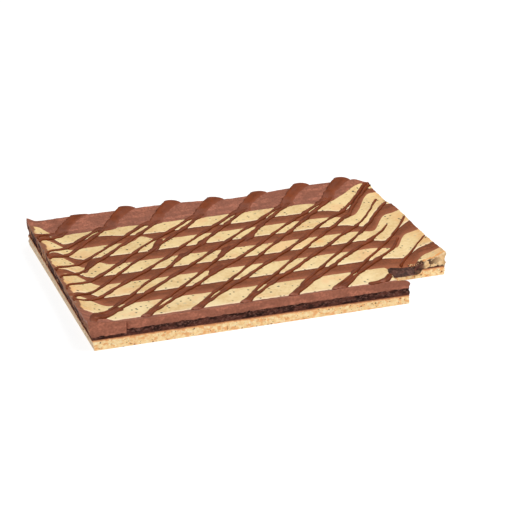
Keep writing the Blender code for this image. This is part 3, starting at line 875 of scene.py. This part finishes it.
def toned(colour, factor):
    """A colour made lighter or darker."""
    return tuple(min(channel * factor, 1.0) for channel in colour)


# Colours beside those of the look. Of the skin: a painted highlight on a band's near half, and
# the line at its far edge
LIT_SKIN = (0.41, 0.133, 0.062)
SKIN_LINE = (0.13, 0.030, 0.010)
# Of the dough: pale patches at the front and the back, fine ones, browned spots, a painted
# highlight on a band's near edge, toasted patches, skin that wraps over the left side, and flecks
PALE_FRONT = (0.90, 0.705, 0.385)
PALE_BACK = (0.90, 0.670, 0.320)
CREAM = (0.95, 0.745, 0.415)
BROWNED_SPOT = (0.90, 0.52, 0.25)
NEAR_EDGE_HIGHLIGHT = (1.0, 0.80, 0.54)
TOAST = (0.86, 0.43, 0.15)
WRAPPED_SKIN = (0.25, 0.080, 0.038)
FLECK = (0.040, 0.030, 0.018)
# Of the crumb and the baked sides: grains, the far cut's crumb, and the brown and pale streaks
CRUMB_GRAIN = (0.215, 0.096, 0.072)
FAR_CRUMB = (0.165, 0.112, 0.096)
BROWN_STREAK = (0.21, 0.070, 0.038)
PALE_STREAK = (0.60, 0.34, 0.17)
# Of the dough in the cut: its ground, creamy patches, the toasted crease and dark chunks
CUT_DOUGH = (0.76, 0.46, 0.21)
CUT_CREAM = (0.94, 0.70, 0.40)
CREASE = (0.88, 0.36, 0.10)
CHUNK = (0.085, 0.035, 0.020)
# Of the biscuit: pale patches, browned ones, the shaded left side, pale and dark specks, and the
# weak and the strong stain
PALE_BISCUIT = (1.0, 0.78, 0.43)
BROWNED_BISCUIT = (0.84, 0.38, 0.13)
SHADED_BISCUIT = (0.74, 0.58, 0.42)
PALE_SPECK = (1.0, 0.90, 0.66)
DARK_SPECK = (0.20, 0.072, 0.022)
WEAK_STAIN = (0.72, 0.30, 0.11)
STRONG_STAIN = (0.22, 0.066, 0.030)
# Flecks in the dough: scale, size and share of each kind, the colour round its core, how strong
# that is and how strong the core is
FLECKS = (
    ((125.0, 0.28, 0.32), (0.42, 0.37, 0.26), 0.36, 0.0),
    ((95.0, 0.22, 0.14), (0.30, 0.25, 0.15), 0.35, 0.90),
    ((200.0, 0.36, 0.38), (0.32, 0.26, 0.15), 0.45, 0.92),
)


def skin_material(name, base, banded):
    """Baked chocolate skin: brown, streaky along the band, with a faint sheen.

    A banded skin has a painted highlight along its near half and ends in a dark line along its far
    edge.
    """
    paint = Paint(name, toned(base, 0.84))
    patches = paint.patches(42.0, 5.0)
    paint.coat(patches, toned(base, 1.20))
    streaks = paint.noise((0.30, 1.0, 1.0), 190.0)
    paint.coat(paint.remap(streaks, 0.46, 0.66, 0.0, 0.80), toned(base, 1.60))
    paint.coat(paint.patches(420.0, 2.0, 3.0), toned(base, 0.66), 0.68)
    if banded:
        across = paint.attribute("across")
        uneven = paint.maths("MULTIPLY_ADD", patches, 0.30, across)
        # Painted highlight over the near half of the band
        paint.coat(paint.remap(uneven, 0.10, 0.75, 0.75, 0.0), LIT_SKIN)
        paint.coat(paint.remap(across, 0.84, 0.97, 0.0, 0.8), SKIN_LINE)
    return paint.finish(0.50, 0.08, paint.grain(650.0, 3.0), 0.0006, 0.8)


def dough_material(look):
    """Pale baked dough with dark flecks, greyish deeper ones and toasted patches."""
    paint = Paint("pale_dough", toned(look.dough, 0.93))
    towards_back = paint.remap(paint.axis("Y"), -0.10, 0.02)
    paint.coat(paint.patches(34.0, 4.0, 7.0), paint.mix(towards_back, PALE_FRONT, PALE_BACK))
    paint.coat(paint.patches(300.0, 3.0, 12.0), CREAM, 0.50)
    spots = paint.patches(26.0, 3.0, 21.0)
    paint.coat(paint.remap(spots, 0.74, 1.0, 0.0, 0.45), BROWNED_SPOT)
    # Painted highlight along the near edge of the band
    paint.coat(paint.remap(paint.attribute("across"), 0.0, 0.14, 0.75, 0.0), NEAR_EDGE_HIGHLIGHT)
    rough = paint.maths("MULTIPLY", paint.patches(75.0, 4.0, 33.0), 0.62)
    toast = paint.maths("MULTIPLY", paint.attribute("toast"), rough)
    paint.coat(toast, TOAST)
    ragged = paint.noise((1.0, 0.6, 1.0), 62.0)
    wrapped = paint.maths("MULTIPLY_ADD", ragged, 1.6, paint.attribute("wrap"))
    paint.coat(paint.remap(wrapped, 1.46, 1.58, 0.0, 0.94), WRAPPED_SKIN)
    for kind, edge, edge_amount, core_amount in FLECKS:
        specks = paint.specks(*kind)
        paint.coat(specks["Mask"], edge, edge_amount)
        if core_amount:
            paint.coat(specks["Core"], FLECK, core_amount)
    return paint.finish(0.55, 0.12, paint.grain(500.0, 4.0), 0.0005, 0.6)


def crumb_material(look):
    """Dark moist brownie crumb: black pits between reddish grains, greyer in the far cut."""
    paint = Paint("brownie_crumb", toned(look.crumb, 0.36))
    pits = paint.noise((0.5, 0.5, 1.0), 230.0, 5.0)
    paint.coat(paint.remap(pits, 0.38, 0.64), toned(look.crumb, 1.45))
    grains = paint.noise((0.6, 0.6, 1.0), 620.0, 3.0)
    paint.coat(paint.remap(grains, 0.48, 0.68, 0.0, 0.80), CRUMB_GRAIN)
    paint.coat(paint.remap(paint.axis("Y"), -0.115, -0.090, 0.0, 0.30), FAR_CRUMB)
    return paint.finish(0.60, 0.08, paint.grain(480.0, 5.0), 0.0016)


def side_material(name, look, pale):
    """The side baked against the tray: dark, with upright streaks of brown and of pale dough."""
    paint = Paint(name, toned(look.crumb, 0.6))
    broad = paint.noise((1.0, 1.0, 0.30), 85.0)
    fine = paint.noise((1.0, 1.0, 0.30), 260.0, 3.0)
    paint.coat(paint.remap(broad, 0.45, 0.55), BROWN_STREAK)
    streaks = paint.maths("MULTIPLY", paint.remap(fine, 0.47, 0.60, 0.0, 0.60 + 0.30 * pale),
                          paint.remap(broad, 0.49 - 0.05 * pale, 0.58))
    paint.coat(streaks, PALE_STREAK)
    return paint.finish(0.70, 0.03, fine, 0.0012, 0.9)


def dough_inside_material(look):
    """Dough in the cut: creamy and craggy under a toasted crease, with dark chunks.

    It is dark brownie at its left tip and at its foot.
    """
    paint = Paint("dough_inside", CUT_DOUGH)
    patches = paint.patches(170.0, 4.0, 2.0)
    paint.coat(patches, CUT_CREAM)
    depth = paint.attribute("depth")
    paint.coat(paint.remap(depth, 0.17, 0.295, 1.0, 0.0), CREASE, 0.95)
    place_x = paint.axis("X")
    chunks = paint.remap(paint.noise((0.8, 0.8, 1.0), 160.0, 5.0), 0.505, 0.545)
    for limit in (paint.remap(depth, 0.18, 0.30), paint.remap(place_x, 0.174, 0.188, 1.0, 0.25)):
        chunks = paint.maths("MULTIPLY", chunks, limit)
    paint.coat(chunks, CHUNK)
    grains = paint.remap(paint.noise((0.6, 0.6, 1.0), 420.0), 0.40, 0.64)
    tip = paint.maths("MULTIPLY_ADD", patches, 0.0040, place_x)
    paint.coat(paint.remap(tip, 0.1690, 0.1740, 0.94, 0.0),
               paint.mix(grains, toned(look.crumb, 0.5), toned(look.crumb, 1.7)))
    foot = paint.maths("MULTIPLY_ADD", patches, 0.35, depth)
    paint.coat(paint.remap(foot, 1.04, 1.18), toned(look.crumb, 0.9))
    return paint.finish(0.60, 0.12, paint.grain(420.0, 4.0), 0.0009, 0.8)


def drizzle_material(look):
    """Set chocolate drizzle: smooth, with painted shade at its foot, and like the skin where it is
    thin.
    """
    paint = Paint("chocolate_drizzle", tuple(look.drizzle))
    paint.coat(paint.patches(90.0, 3.0, 5.0), toned(look.drizzle, 1.55))
    # Painted shade along the foot of the strands and the left edge of the ribbons
    paint.coat(paint.attribute("foot"), toned(look.drizzle, 0.62), 0.70)
    paint.coat(paint.attribute("thin"), tuple(look.skin))
    return paint.finish(0.34, 0.06, paint.grain(420.0, 3.0), 0.0004, 0.6)


def biscuit_material(look):
    """Golden porous biscuit with toasted specks, stained brown along its upper edge."""
    paint = Paint("biscuit_crumb", toned(look.biscuit, 0.92))
    paint.coat(paint.patches(260.0, 4.0, 1.0), PALE_BISCUIT)
    browned = paint.noise((0.6, 0.6, 1.0), 330.0, 5.0)
    paint.coat(paint.remap(browned, 0.48, 0.62, 0.0, 0.85), BROWNED_BISCUIT)
    paint.coat(paint.attribute("shade"), SHADED_BISCUIT, 0.75)
    paint.coat(paint.specks(420.0, 0.42, 0.20)["Mask"], PALE_SPECK, 0.5)
    for scale, share in ((270.0, 0.20), (520.0, 0.24)):
        paint.coat(paint.specks(scale, 0.46, share)["Core"], DARK_SPECK, 0.9)
    stain = paint.attribute("stain")
    paint.coat(paint.remap(stain, 0.0, 0.5), WEAK_STAIN)
    paint.coat(paint.remap(stain, 0.5, 0.9), STRONG_STAIN)
    return paint.finish(0.80, 0.5, paint.grain(700.0, 4.0), 0.0008, 0.8)


def floor_material():
    """A plain floor, very slightly uneven and lit so that it looks white."""
    paint = Paint("pale_floor", (0.24, 0.24, 0.24))
    paint.coat(paint.patches(2.0, 2.0), (0.26, 0.26, 0.26))
    paint.shader.inputs["Emission Color"].default_value = (1.0, 1.0, 1.0, 1.0)
    paint.shader.inputs["Emission Strength"].default_value = 0.86
    return paint.finish(0.9, 0.5)


GROUPS = {"food_mottle": mottle_group, "food_specks": speck_group, "food_grain": grain_group}
MATERIALS = {
    "brownie_skin": lambda look: skin_material("brownie_skin", look.skin, False),
    "inner_brownie_skin": lambda look: skin_material("inner_brownie_skin", look.inner_skin, True),
    "brownie_crumb": crumb_material,
    "baked_brownie_side": lambda look: side_material("baked_brownie_side", look, 0.0),
    "pale_dough": dough_material,
    "dough_inside": dough_inside_material,
    "baked_dough_side": lambda look: side_material("baked_dough_side", look, 1.0),
    "chocolate_drizzle": drizzle_material,
    "biscuit_crumb": biscuit_material,
    "pale_floor": lambda look: floor_material(),
}


def made_of(*names):
    """The materials of those names, each made once, and the shared groups before them."""
    for group, maker in GROUPS.items():
        if group not in bpy.data.node_groups:
            maker()
    look = bpy.context.scene.sheet_look
    return [bpy.data.materials.get(name) or MATERIALS[name](look) for name in names]


# Biscuit

BISCUIT_INSET = 0.0003
BISCUIT_SWELL = 0.0002
BISCUIT_CRAGS = ((0.00095, 0.0030), (0.000665, 0.0012))
BISCUIT_RINGS = 9
# How deep the stain goes, how that varies, and how strong it is at the upper edge
STAIN_DEPTH = 0.0017
STAIN_WAVES = ((0.00153, 0.010), (0.00102, 0.003))
STAIN_LEAST = 0.0008
STAIN = 0.9


def biscuit_outline(step):
    """Points round the biscuit, with the notch, in sheet coordinates."""
    corners = ((0.0, 0.0), (CUT_X, 0.0), (CUT_X, NOTCH_DEPTH), (LENGTH, NOTCH_DEPTH),
               (LENGTH, DEPTH), (0.0, DEPTH))
    points = []
    for (x0, y0), (x1, y1) in zip(corners, corners[1:] + corners[:1]):
        count = round(math.hypot(x1 - x0, y1 - y0) / step)
        for i in range(count):
            points.append((x0 + (x1 - x0) * i / count, y0 + (y1 - y0) * i / count))
    return points


def biscuit_point(x, y, ring):
    """A point of the biscuit's crumbly side."""
    share = ring / BISCUIT_RINGS
    z = biscuit_top(x) * share
    out_x, out_y = outward(sides_at(x, y))
    middle = math.sin(math.pi * share) ** 0.5 if 0.0 < share < 1.0 else 0.0
    inset = BISCUIT_INSET + middle * (crags(x, y, z, BISCUIT_CRAGS) - BISCUIT_SWELL)
    px, py, pz = flared(x, y, z)
    return place(px - out_x * inset, py - out_y * inset, pz)


def biscuit_piece(size, materials):
    """The whole biscuit as one closed mesh, with the brown stain along its upper edge."""
    outline = biscuit_outline(size.biscuit_step)
    bm = bmesh.new()
    stain = bm.verts.layers.float.new("stain")
    shade = bm.verts.layers.float.new("shade")
    foot = [bm.verts.new(biscuit_point(x, y, 0)) for x, y in outline]
    plan = dict(zip(foot, outline))
    rim = list(bm.faces.new(foot).edges)
    for ring in range(1, BISCUIT_RINGS + 1):
        rim = next_ring(bm, rim, plan, lambda x, y: biscuit_point(x, y, ring))
        for vert in {vert for edge in rim for vert in edge.verts}:
            x, y = plan[vert]
            under = biscuit_top(x) - vert.co.z
            reach = max(STAIN_DEPTH + waves(x, y, STAIN_WAVES, 31.0), 0.0) + STAIN_LEAST
            vert[stain] = STAIN * (1.0 - smooth(0.0, reach, under))
            vert[shade] = 1.0 if x < TINY else 0.0
    bmesh.ops.contextual_create(bm, geom=rim)
    bmesh.ops.recalc_face_normals(bm, faces=bm.faces)
    return finished("biscuit", bm, materials, ["biscuit_base"], sharp=1.2)


# Drizzle

BEAD_SIDES = 8
BEAD_POWER = 0.8
BEAD_FOOT = 0.8
BEAD_SINK = 0.0006
BEAD_EDGE_SINK = 0.00018
BEAD_ROUND = 0.003
BEAD_END = 0.4
BEAD_END_WIDTH = 0.3
# How a strand's width and height vary
WIDTH_MEAN = 0.92
WIDTH_WAVES = ((0.34, 0.010), (0.14, 0.004))
LIFT_WAVE = 0.30
LIFT_SCALE = 0.012
# Strands are narrower beside the left edge and near the right side
LEFT_WIDTH = 0.4
LEFT_WIDENS = (0.001, 0.014)
RIGHT_NARROWS_BY = 0.32
RIGHT_NARROWS = (0.325, 0.345)
# A body fades over the last part of its way
FADE_FROM = 0.62
FADE_DEPTH = 0.9
# How far a strand takes the colour of the front rim where it starts on it, and over how many rings
BLEND = 0.8
BLEND_RINGS = 3.0


def between(levels, values, at):
    """Value at a level, eased between the given ones."""
    if at <= levels[0]:
        return values[0]
    for low, high, first, second in zip(levels, levels[1:], values, values[1:]):
        if at <= high:
            return first + (second - first) * smooth(low, high, at)
    return values[-1]


def strand_x(strand, index, y):
    """Where one drizzle strand crosses at a depth y."""
    x = strand.start + PITCH * index + strand.slope * (y - MERGE_Y)
    return x + between(LEVELS, strand.shifts.get(index, (0.0,) * len(LEVELS)), y)


def resampled(points, step):
    """Points at an even step along a path, rounded where it bends."""
    for i in range(2):
        inner = [tuple((a + 2.0 * b + c) / 4.0 for a, b, c in zip(*three))
                 for three in zip(points, points[1:], points[2:])]
        points = [points[0]] + inner + [points[-1]]
    path = []
    for start, end in zip(points, points[1:]):
        count = max(round(math.dist(start, end) / step), 1)
        path.extend(tuple(a + (b - a) * i / count for a, b in zip(start, end))
                    for i in range(count))
    return path + [points[-1]]


def route(strand, index, seed):
    """The whole way of one strand over the sheet."""
    tail = strand.tails.get(index)
    points = []
    y = DRIZZLE_FRONT
    while y < DRIZZLE_BACK:
        x = strand_x(strand, index, y)
        if tail and x > tail[0][0] - TAIL_GAP:
            break
        points.append((x, y + LEFT_CLIMB * (1.0 - smooth(0.0, LEFT_CLIMB_REACH, x))))
        y += STRAND_SCAN
    points.extend(resampled(tail, TAIL_STEP) if tail else [])
    points = [(x + WANDER * wave(x, y, WANDER_SCALE, seed), y)
              for x, y in resampled(points, STRAND_SCAN)]
    inside = [point for point in points if point[0] > HOOK[-1][0]]
    if not inside or len(inside) == len(points):
        return points
    if inside[0][1] < HOOKED_FROM:
        return [point for point in inside if point[0] > UNHOOKED_END]
    length = HOOK_MEAN + HOOK_VARIES * wave(seed, 0.5, 1.0, 88.0)
    hook = [(x, inside[0][1] + down * length) for x, down in HOOK[:-1]]
    return resampled(hook + inside[:HOOK_JOINT], STRAND_SCAN) + inside[HOOK_JOINT:]


def pool_path(index):
    """The middle between the two strands of a pair, from its start to where they part."""
    steps = round((POOLS[index] - DRIZZLE_FRONT) / STRAND_SCAN)
    depths = [DRIZZLE_FRONT + STRAND_SCAN * i for i in range(steps + 1)]
    return [((strand_x(ZIG, index, y) + strand_x(ZAG, index, y)) / 2.0, y) for y in depths]


def on_sheet(x, y):
    """True where a strand's centre lies on the baked top, clear of its edges and the notch."""
    over_notch = x > CUT_X - STRAND_MARGIN and y < NOTCH_DEPTH + STRAND_MARGIN
    return STRAND_MARGIN < x < LENGTH - STRAND_MARGIN and not over_notch


def runs_on_sheet(path):
    """The stretches of a path that lie on the sheet."""
    runs = [[]]
    for x, y in path:
        if on_sheet(x, y):
            runs[-1].append((x, y))
        elif runs[-1]:
            runs.append([])
    return [run for run in runs if len(run) * STRAND_SCAN > SHORTEST_STRAND]


def loft(bm, rings, look, fade=0.0, blend=0.0):
    """Add a closed body with flat ends through rings of points.

    look() gives two values for a point's number in its ring: how thin the chocolate is there,
    and how much painted shade it gets for lying near the body's lower edge. Towards its last ring
    the body thins by fade, and over its first few rings by blend.
    """
    body = bmesh.new()
    thin = body.verts.layers.float.new("thin")
    # foot: painted shade along the body's lower edge
    foot = body.verts.layers.float.new("foot")
    first = body.faces.new([body.verts.new(point) for point in rings[0]])
    rim = list(first.edges)
    plan = dict(zip(first.verts, range(len(rings[0]))))
    for number, ring in enumerate(rings):
        if number:
            rim = next_ring(body, rim, plan, lambda order: ring[order])
        passed = max(number - 1, 0)
        gone = max(fade * smooth(FADE_FROM, 1.0, passed / len(rings)),
                   blend * (1.0 - smooth(0.0, BLEND_RINGS, passed)))
        for vert in {vert for edge in rim for vert in edge.verts}:
            thinness, edge_shade = look(plan[vert])
            vert[thin] = max(thinness, gone)
            vert[foot] = edge_shade * (1.0 - gone)
    bmesh.ops.contextual_create(body, geom=rim)
    bmesh.ops.recalc_face_normals(body, faces=body.faces)
    mesh = bpy.data.meshes.new("body")
    body.to_mesh(mesh)
    body.free()
    bm.from_mesh(mesh)
    bpy.data.meshes.remove(mesh)


def bead_look(order):
    """A strand keeps its full colour, with painted shade along its two edges."""
    if order > BEAD_SIDES:
        return 0.0, 1.0
    return 0.0, abs(math.cos(math.pi * order / BEAD_SIDES)) ** 3


def ribbon_look(order):
    """A ribbon has painted shade along its left edge and thins out to the right."""
    if order >= len(RIBBON_SECTION):
        return 0.0, 1.0
    across = RIBBON_SECTION[order][0]
    thinness = RIBBON_THIN + RIBBON_THINS_BY * smooth(RIBBON_THINS_FROM, 1.0, across)
    return thinness, 1.0 - smooth(0.0, RIBBON_SHADE_WIDTH, across)


def kept_on(x, y):
    """Move a point that lies just over the notch, or beside the sheet, back to the nearest edge."""
    if x > CUT_X and y < NOTCH_DEPTH:
        if x - CUT_X < NOTCH_DEPTH - y:
            x = CUT_X
        else:
            y = NOTCH_DEPTH
    return min(max(x, 0.0), LENGTH), y


def bead_rings(path, widths, height, seed, fade=0.0, taper=BEAD_ROUND):
    """Sections of a bead of drizzle along a path on the baked top, rounded at both ends."""
    turns = [math.pi * i / BEAD_SIDES for i in range(BEAD_SIDES + 1)]
    section = [(-math.cos(turn), math.sin(turn) ** BEAD_POWER) for turn in turns]
    last = len(path) - 1
    rings = []
    for i, (x, y) in enumerate(path):
        ahead = Vector(path[min(i + 1, last)]) - Vector(path[max(i - 1, 0)])
        side = Vector((ahead.y, -ahead.x)).normalized()
        end = max(1.0 - (min(i, last - i) + BEAD_END) * STRAND_SCAN / taper, 0.0)
        end = math.sqrt(1.0 - end ** 2)
        half = between(LEVELS, widths, y) * (BEAD_END_WIDTH + (1.0 - BEAD_END_WIDTH) * end) / 2.0
        half *= WIDTH_MEAN + waves(x, y, WIDTH_WAVES, seed)
        half *= 1.0 + SPREAD * max(bell(y, edge_y(row, x), SPREAD_REACH)
                                   for row in range(len(EDGES)))
        half *= LEFT_WIDTH + (1.0 - LEFT_WIDTH) * smooth(*LEFT_WIDENS, x)
        half *= 1.0 - RIGHT_NARROWS_BY * smooth(*RIGHT_NARROWS, x)
        lift = height * end * (1.0 + LIFT_WAVE * wave(x, y, LIFT_SCALE, seed + 2.0))
        lift *= 1.0 - FADE_DEPTH * fade * smooth(FADE_FROM, 1.0, i / len(path))
        ups = [(across, lift * share - BEAD_EDGE_SINK * (share < TINY))
               for across, share in section]
        ups += [(BEAD_FOOT, -BEAD_SINK), (-BEAD_FOOT, -BEAD_SINK)]
        rings.append([on_top(*kept_on(x + side.x * across * half, y + side.y * across * half), up)
                      for across, up in ups])
    return rings


def ribbon_rings(number):
    """Sections of the ribbon of drizzle where two strands turn at the back rim."""
    depths, *edges = zip(*RIBBON)
    back = DEPTH + RIBBON_LIP
    count = round((back - depths[0]) / RIBBON_STEP)
    shift = RIBBON_AT[number]
    rings = []
    for i in range(count + 1):
        y = depths[0] + (back - depths[0]) * i / count
        left, right = (between(depths, edge, y) + shift + waves(y, shift, uneven, seed)
                       for edge, uneven, seed in zip(edges, RIBBON_WAVES, (71.0, 72.0)))
        start = smooth(depths[0], depths[0] + RIBBON_START, y)
        lift = RIBBON_LOW + (RIBBON_HIGH[number] - RIBBON_LOW) * smooth(*RIBBON_CLIMBS, y)
        lift *= RIBBON_START_HEIGHT + (1.0 - RIBBON_START_HEIGHT) * start
        narrower = (right - left) / 2.0 * (1.0 - RIBBON_START_WIDTH) * (1.0 - start)
        left, right = left + narrower, right - narrower
        ups = [(across, lift * share - RIBBON_SINK * (share < TINY))
               for across, share in RIBBON_SECTION]
        ups += [(across, -BEAD_SINK) for across in RIBBON_FEET]
        rings.append([on_top(left + (right - left) * across, y, up) for across, up in ups])
    return rings


def drizzle_piece(size, materials):
    """The whole zigzag of drizzle."""
    bm = bmesh.new()
    height = size.drizzle_height
    for order, strand in enumerate((ZIG, ZAG)):
        for index in range(FIRST_STRAND, strand.last + 1):
            seed = 40.0 + 2.0 * index + 0.7 * order
            for run in runs_on_sheet(route(strand, index, seed)):
                blend = BLEND if run[0][1] < DRIZZLE_FRONT + STRAND_SCAN else 0.0
                rings = bead_rings(run, strand.widths, height, seed)
                loft(bm, rings, bead_look, blend=blend)
    for index in POOLS:
        widths = (POOL_WIDTH,) * len(LEVELS)
        rings = bead_rings(pool_path(index), widths, height * POOL_HEIGHT, 95.0 + index)
        loft(bm, rings, bead_look, blend=BLEND)
    for path, widths, fade, taper in SMEARS:
        widths += (widths[-1],) * (len(LEVELS) - len(widths))
        rings = bead_rings(resampled(path, STRAND_SCAN), widths, height * SMEAR_HEIGHT, 91.0,
                           fade, taper)
        loft(bm, rings, bead_look, fade)
    for number in range(len(RIBBON_AT)):
        loft(bm, ribbon_rings(number), ribbon_look)
    return finished("drizzle", bm, materials, [], sharp=1.3)


# Crumbs

Heap = namedtuple("Heap", "side start end low high share least most")
# Where crumbs cling: a side, its stretch, the heights, their share of all, and their radii
BROWNIE_HEAPS = (
    Heap("front", 0.036, 0.318, 0.0120, 0.0180, 0.62, 0.0003, 0.0008),
    Heap("far cut", 0.322, 0.350, 0.0070, 0.0160, 0.20, 0.0004, 0.0010),
    Heap("near cut", 0.004, 0.052, 0.0115, 0.0180, 0.18, 0.0004, 0.0009),
    Heap("right", 0.258, 0.267, 0.0172, 0.0196, 0.08, 0.0006, 0.0012),
)
BISCUIT_HEAPS = (
    Heap("front", 0.004, 0.318, 0.0012, 0.0098, 0.50, 0.0003, 0.0007),
    Heap("far cut", 0.321, 0.378, 0.0015, 0.0065, 0.30, 0.0005, 0.0013),
    Heap("near cut", 0.002, 0.052, 0.0015, 0.0070, 0.12, 0.0003, 0.0009),
    Heap("far cut", 0.341, 0.358, 0.0125, 0.0166, 0.20, 0.0003, 0.0008),
)


CRUMB_SPOT_TUCK = 0.0007
CRUMB_DENT = 0.35
CRUMB_DENT_SCALE = 0.0009


def crumb_spot(heap, chance):
    """A random place on a cut or torn side."""
    along = chance.uniform(heap.start, heap.end)
    z = chance.uniform(heap.low, heap.high)
    x, y = {"front": (along, 0.0), "far cut": (along, NOTCH_DEPTH),
            "near cut": (CUT_X, along), "right": (LENGTH, along)}[heap.side]
    out_x, out_y = OUT[heap.side]
    px, py, pz = flared(x, y, z)
    tuck = CUT_TUCK if z < biscuit_top(x) else CRUMB_SPOT_TUCK
    return place(px - out_x * tuck, py - out_y * tuck, pz)


def crumbs_piece(name, heaps, count, materials, seed):
    """Small crumbs that cling to the cut and torn sides, the same each run."""
    chance = random.Random(seed)
    noise.seed_set(seed)
    bm = bmesh.new()
    for heap in heaps:
        for i in range(round(count * heap.share)):
            radius = chance.uniform(heap.least, heap.most)
            turn = Euler([chance.uniform(0.0, math.tau) for axis in range(3)]).to_matrix().to_4x4()
            shape = Matrix.Diagonal((1.0, chance.uniform(0.6, 0.9), chance.uniform(0.5, 0.8), 1.0))
            spot = Matrix.Translation(crumb_spot(heap, chance))
            made = bmesh.ops.create_icosphere(
                bm, subdivisions=1, radius=radius, matrix=spot @ turn @ shape)
            for vert in made["verts"]:
                vert.co += noise.noise_vector(vert.co / CRUMB_DENT_SCALE) * radius * CRUMB_DENT
    return finished(name, bm, materials, [], sharp=0.7)


# Stage

CAMERA_PLACE = Vector((-0.62992, -1.94250, 0.91193))
CAMERA_YAW = 0.326356
CAMERA_PITCH = 0.418011
CAMERA_ROLL = -0.005207
CAMERA_LENS = 148.92
SENSOR = 36.0
# Lights that look at the middle of the sheet: place, width and power
LIGHTS = {
    "key_light": ((0.9, -0.7, 1.9), 0.9, 30.0),
    "front_light": ((0.3, -2.0, 0.9), 1.4, 6.0),
    "fill_light": ((-1.2, -0.9, 1.5), 1.6, 3.0),
    "back_light": ((0.6, 1.5, 1.6), 1.2, 11.0),
}
FLOOR_HALF = 6.0


def camera_piece():
    """The camera at the photograph's angle."""
    data = bpy.data.cameras.new("camera")
    data.lens = CAMERA_LENS
    data.sensor_width = SENSOR
    data.clip_start = 0.1
    data.clip_end = 50.0
    made = linked(bpy.data.objects.new("camera", data))
    turn = Matrix.Rotation(-CAMERA_YAW, 4, "Z")
    turn @= Matrix.Rotation(math.pi / 2.0 - CAMERA_PITCH, 4, "X")
    turn @= Matrix.Rotation(CAMERA_ROLL, 4, "Z")
    made.matrix_world = Matrix.Translation(CAMERA_PLACE) @ turn
    bpy.context.scene.camera = made


def area_light(name, spot, width, power):
    """A soft square light."""
    data = bpy.data.lights.new(name, "AREA")
    data.size = width
    data.energy = power
    made = linked(bpy.data.objects.new(name, data))
    made.location = spot
    made.rotation_mode = "QUATERNION"
    made.rotation_quaternion = (-Vector(spot)).to_track_quat("-Z", "Y")


def floor_piece():
    """A wide plain floor."""
    bm = bmesh.new()
    bmesh.ops.create_grid(bm, x_segments=4, y_segments=4, size=FLOOR_HALF)
    mesh = bpy.data.meshes.new("floor")
    bm.to_mesh(mesh)
    bm.free()
    mesh.materials.append(made_of("pale_floor")[0])
    linked(bpy.data.objects.new("floor", mesh))


def set_world():
    """An even white surrounding."""
    world = bpy.data.worlds.new("studio")
    bpy.context.scene.world = world
    world.use_nodes = True
    background = world.node_tree.nodes["Background"]
    background.inputs["Color"].default_value = (1.0, 1.0, 1.0, 1.0)
    background.inputs["Strength"].default_value = 0.30


# Operators


class SHEET_OT_biscuit(bpy.types.Operator):
    """Make the biscuit base"""
    bl_idname = "sheet.biscuit"
    bl_label = "Biscuit"

    def execute(self, context):
        biscuit_piece(context.scene.sheet_size, made_of("biscuit_crumb"))
        return {"FINISHED"}


class SHEET_OT_bands(bpy.types.Operator):
    """Make the brownie and dough bands"""
    bl_idname = "sheet.bands"
    bl_label = "Bands"

    def execute(self, context):
        size = context.scene.sheet_size
        rim = made_of("brownie_skin", "brownie_crumb", "baked_brownie_side")
        inner = made_of("inner_brownie_skin", "brownie_crumb", "baked_brownie_side")
        dough = made_of("pale_dough", "dough_inside", "baked_dough_side")
        for row in range(len(EDGES) + 1):
            brownie = rim if row in (0, len(EDGES)) else inner
            kind, made = ("dough", dough) if row % 2 else ("brownie", brownie)
            x_to = CUT_X if row < 2 else LENGTH
            band_piece(f"{kind}_band_{row // 2 + 1}", row, 0.0, x_to, size, made)
        band_piece("dough_band_1_end", 1, END_TIP, LENGTH, size, dough)
        return {"FINISHED"}


class SHEET_OT_drizzle(bpy.types.Operator):
    """Make the chocolate drizzle"""
    bl_idname = "sheet.drizzle"
    bl_label = "Drizzle"

    def execute(self, context):
        drizzle_piece(context.scene.sheet_size, made_of("chocolate_drizzle"))
        return {"FINISHED"}


class SHEET_OT_crumbs(bpy.types.Operator):
    """Make the crumbs that cling to the cut sides"""
    bl_idname = "sheet.crumbs"
    bl_label = "Crumbs"

    def execute(self, context):
        count = context.scene.sheet_size.crumb_count
        for kind, heaps, seed in (("brownie", BROWNIE_HEAPS, 3), ("biscuit", BISCUIT_HEAPS, 4)):
            crumbs_piece(f"{kind}_crumbs", heaps, count, made_of(f"{kind}_crumb"), seed)
        return {"FINISHED"}


class SHEET_OT_stage(bpy.types.Operator):
    """Make the floor, the lights and the camera"""
    bl_idname = "sheet.stage"
    bl_label = "Stage"

    def execute(self, context):
        floor_piece()
        set_world()
        for name, light in LIGHTS.items():
            area_light(name, *light)
        camera_piece()
        context.scene.view_settings.view_transform = "Standard"
        return {"FINISHED"}


class SHEET_PT_panel(bpy.types.Panel):
    """Sizes, colours and pieces of the sheet brownie"""
    bl_idname = "SHEET_PT_panel"
    bl_label = "Sheet Brownie"
    bl_space_type = "VIEW_3D"
    bl_region_type = "UI"
    bl_category = "Sheet Brownie"

    def draw(self, context):
        for group in (context.scene.sheet_size, context.scene.sheet_look):
            box = self.layout.box()
            for name in group.bl_rna.properties.keys():
                if name not in ("rna_type", "name"):
                    box.prop(group, name)
        for operator in OPERATORS:
            self.layout.operator(operator.bl_idname)


OPERATORS = (SHEET_OT_biscuit, SHEET_OT_bands, SHEET_OT_drizzle, SHEET_OT_crumbs, SHEET_OT_stage)
CLASSES = (SheetSize, SheetLook) + OPERATORS + (SHEET_PT_panel,)


def register():
    for cls in CLASSES:
        bpy.utils.register_class(cls)
    bpy.types.Scene.sheet_size = PointerProperty(type=SheetSize)
    bpy.types.Scene.sheet_look = PointerProperty(type=SheetLook)


def unregister():
    del bpy.types.Scene.sheet_look
    del bpy.types.Scene.sheet_size
    for cls in reversed(CLASSES):
        bpy.utils.unregister_class(cls)


def main():
    """Make every piece and the stage."""
    register()
    bpy.ops.sheet.biscuit()
    bpy.ops.sheet.bands()
    bpy.ops.sheet.drizzle()
    bpy.ops.sheet.crumbs()
    bpy.ops.sheet.stage()


if __name__ == "__main__":
    main()
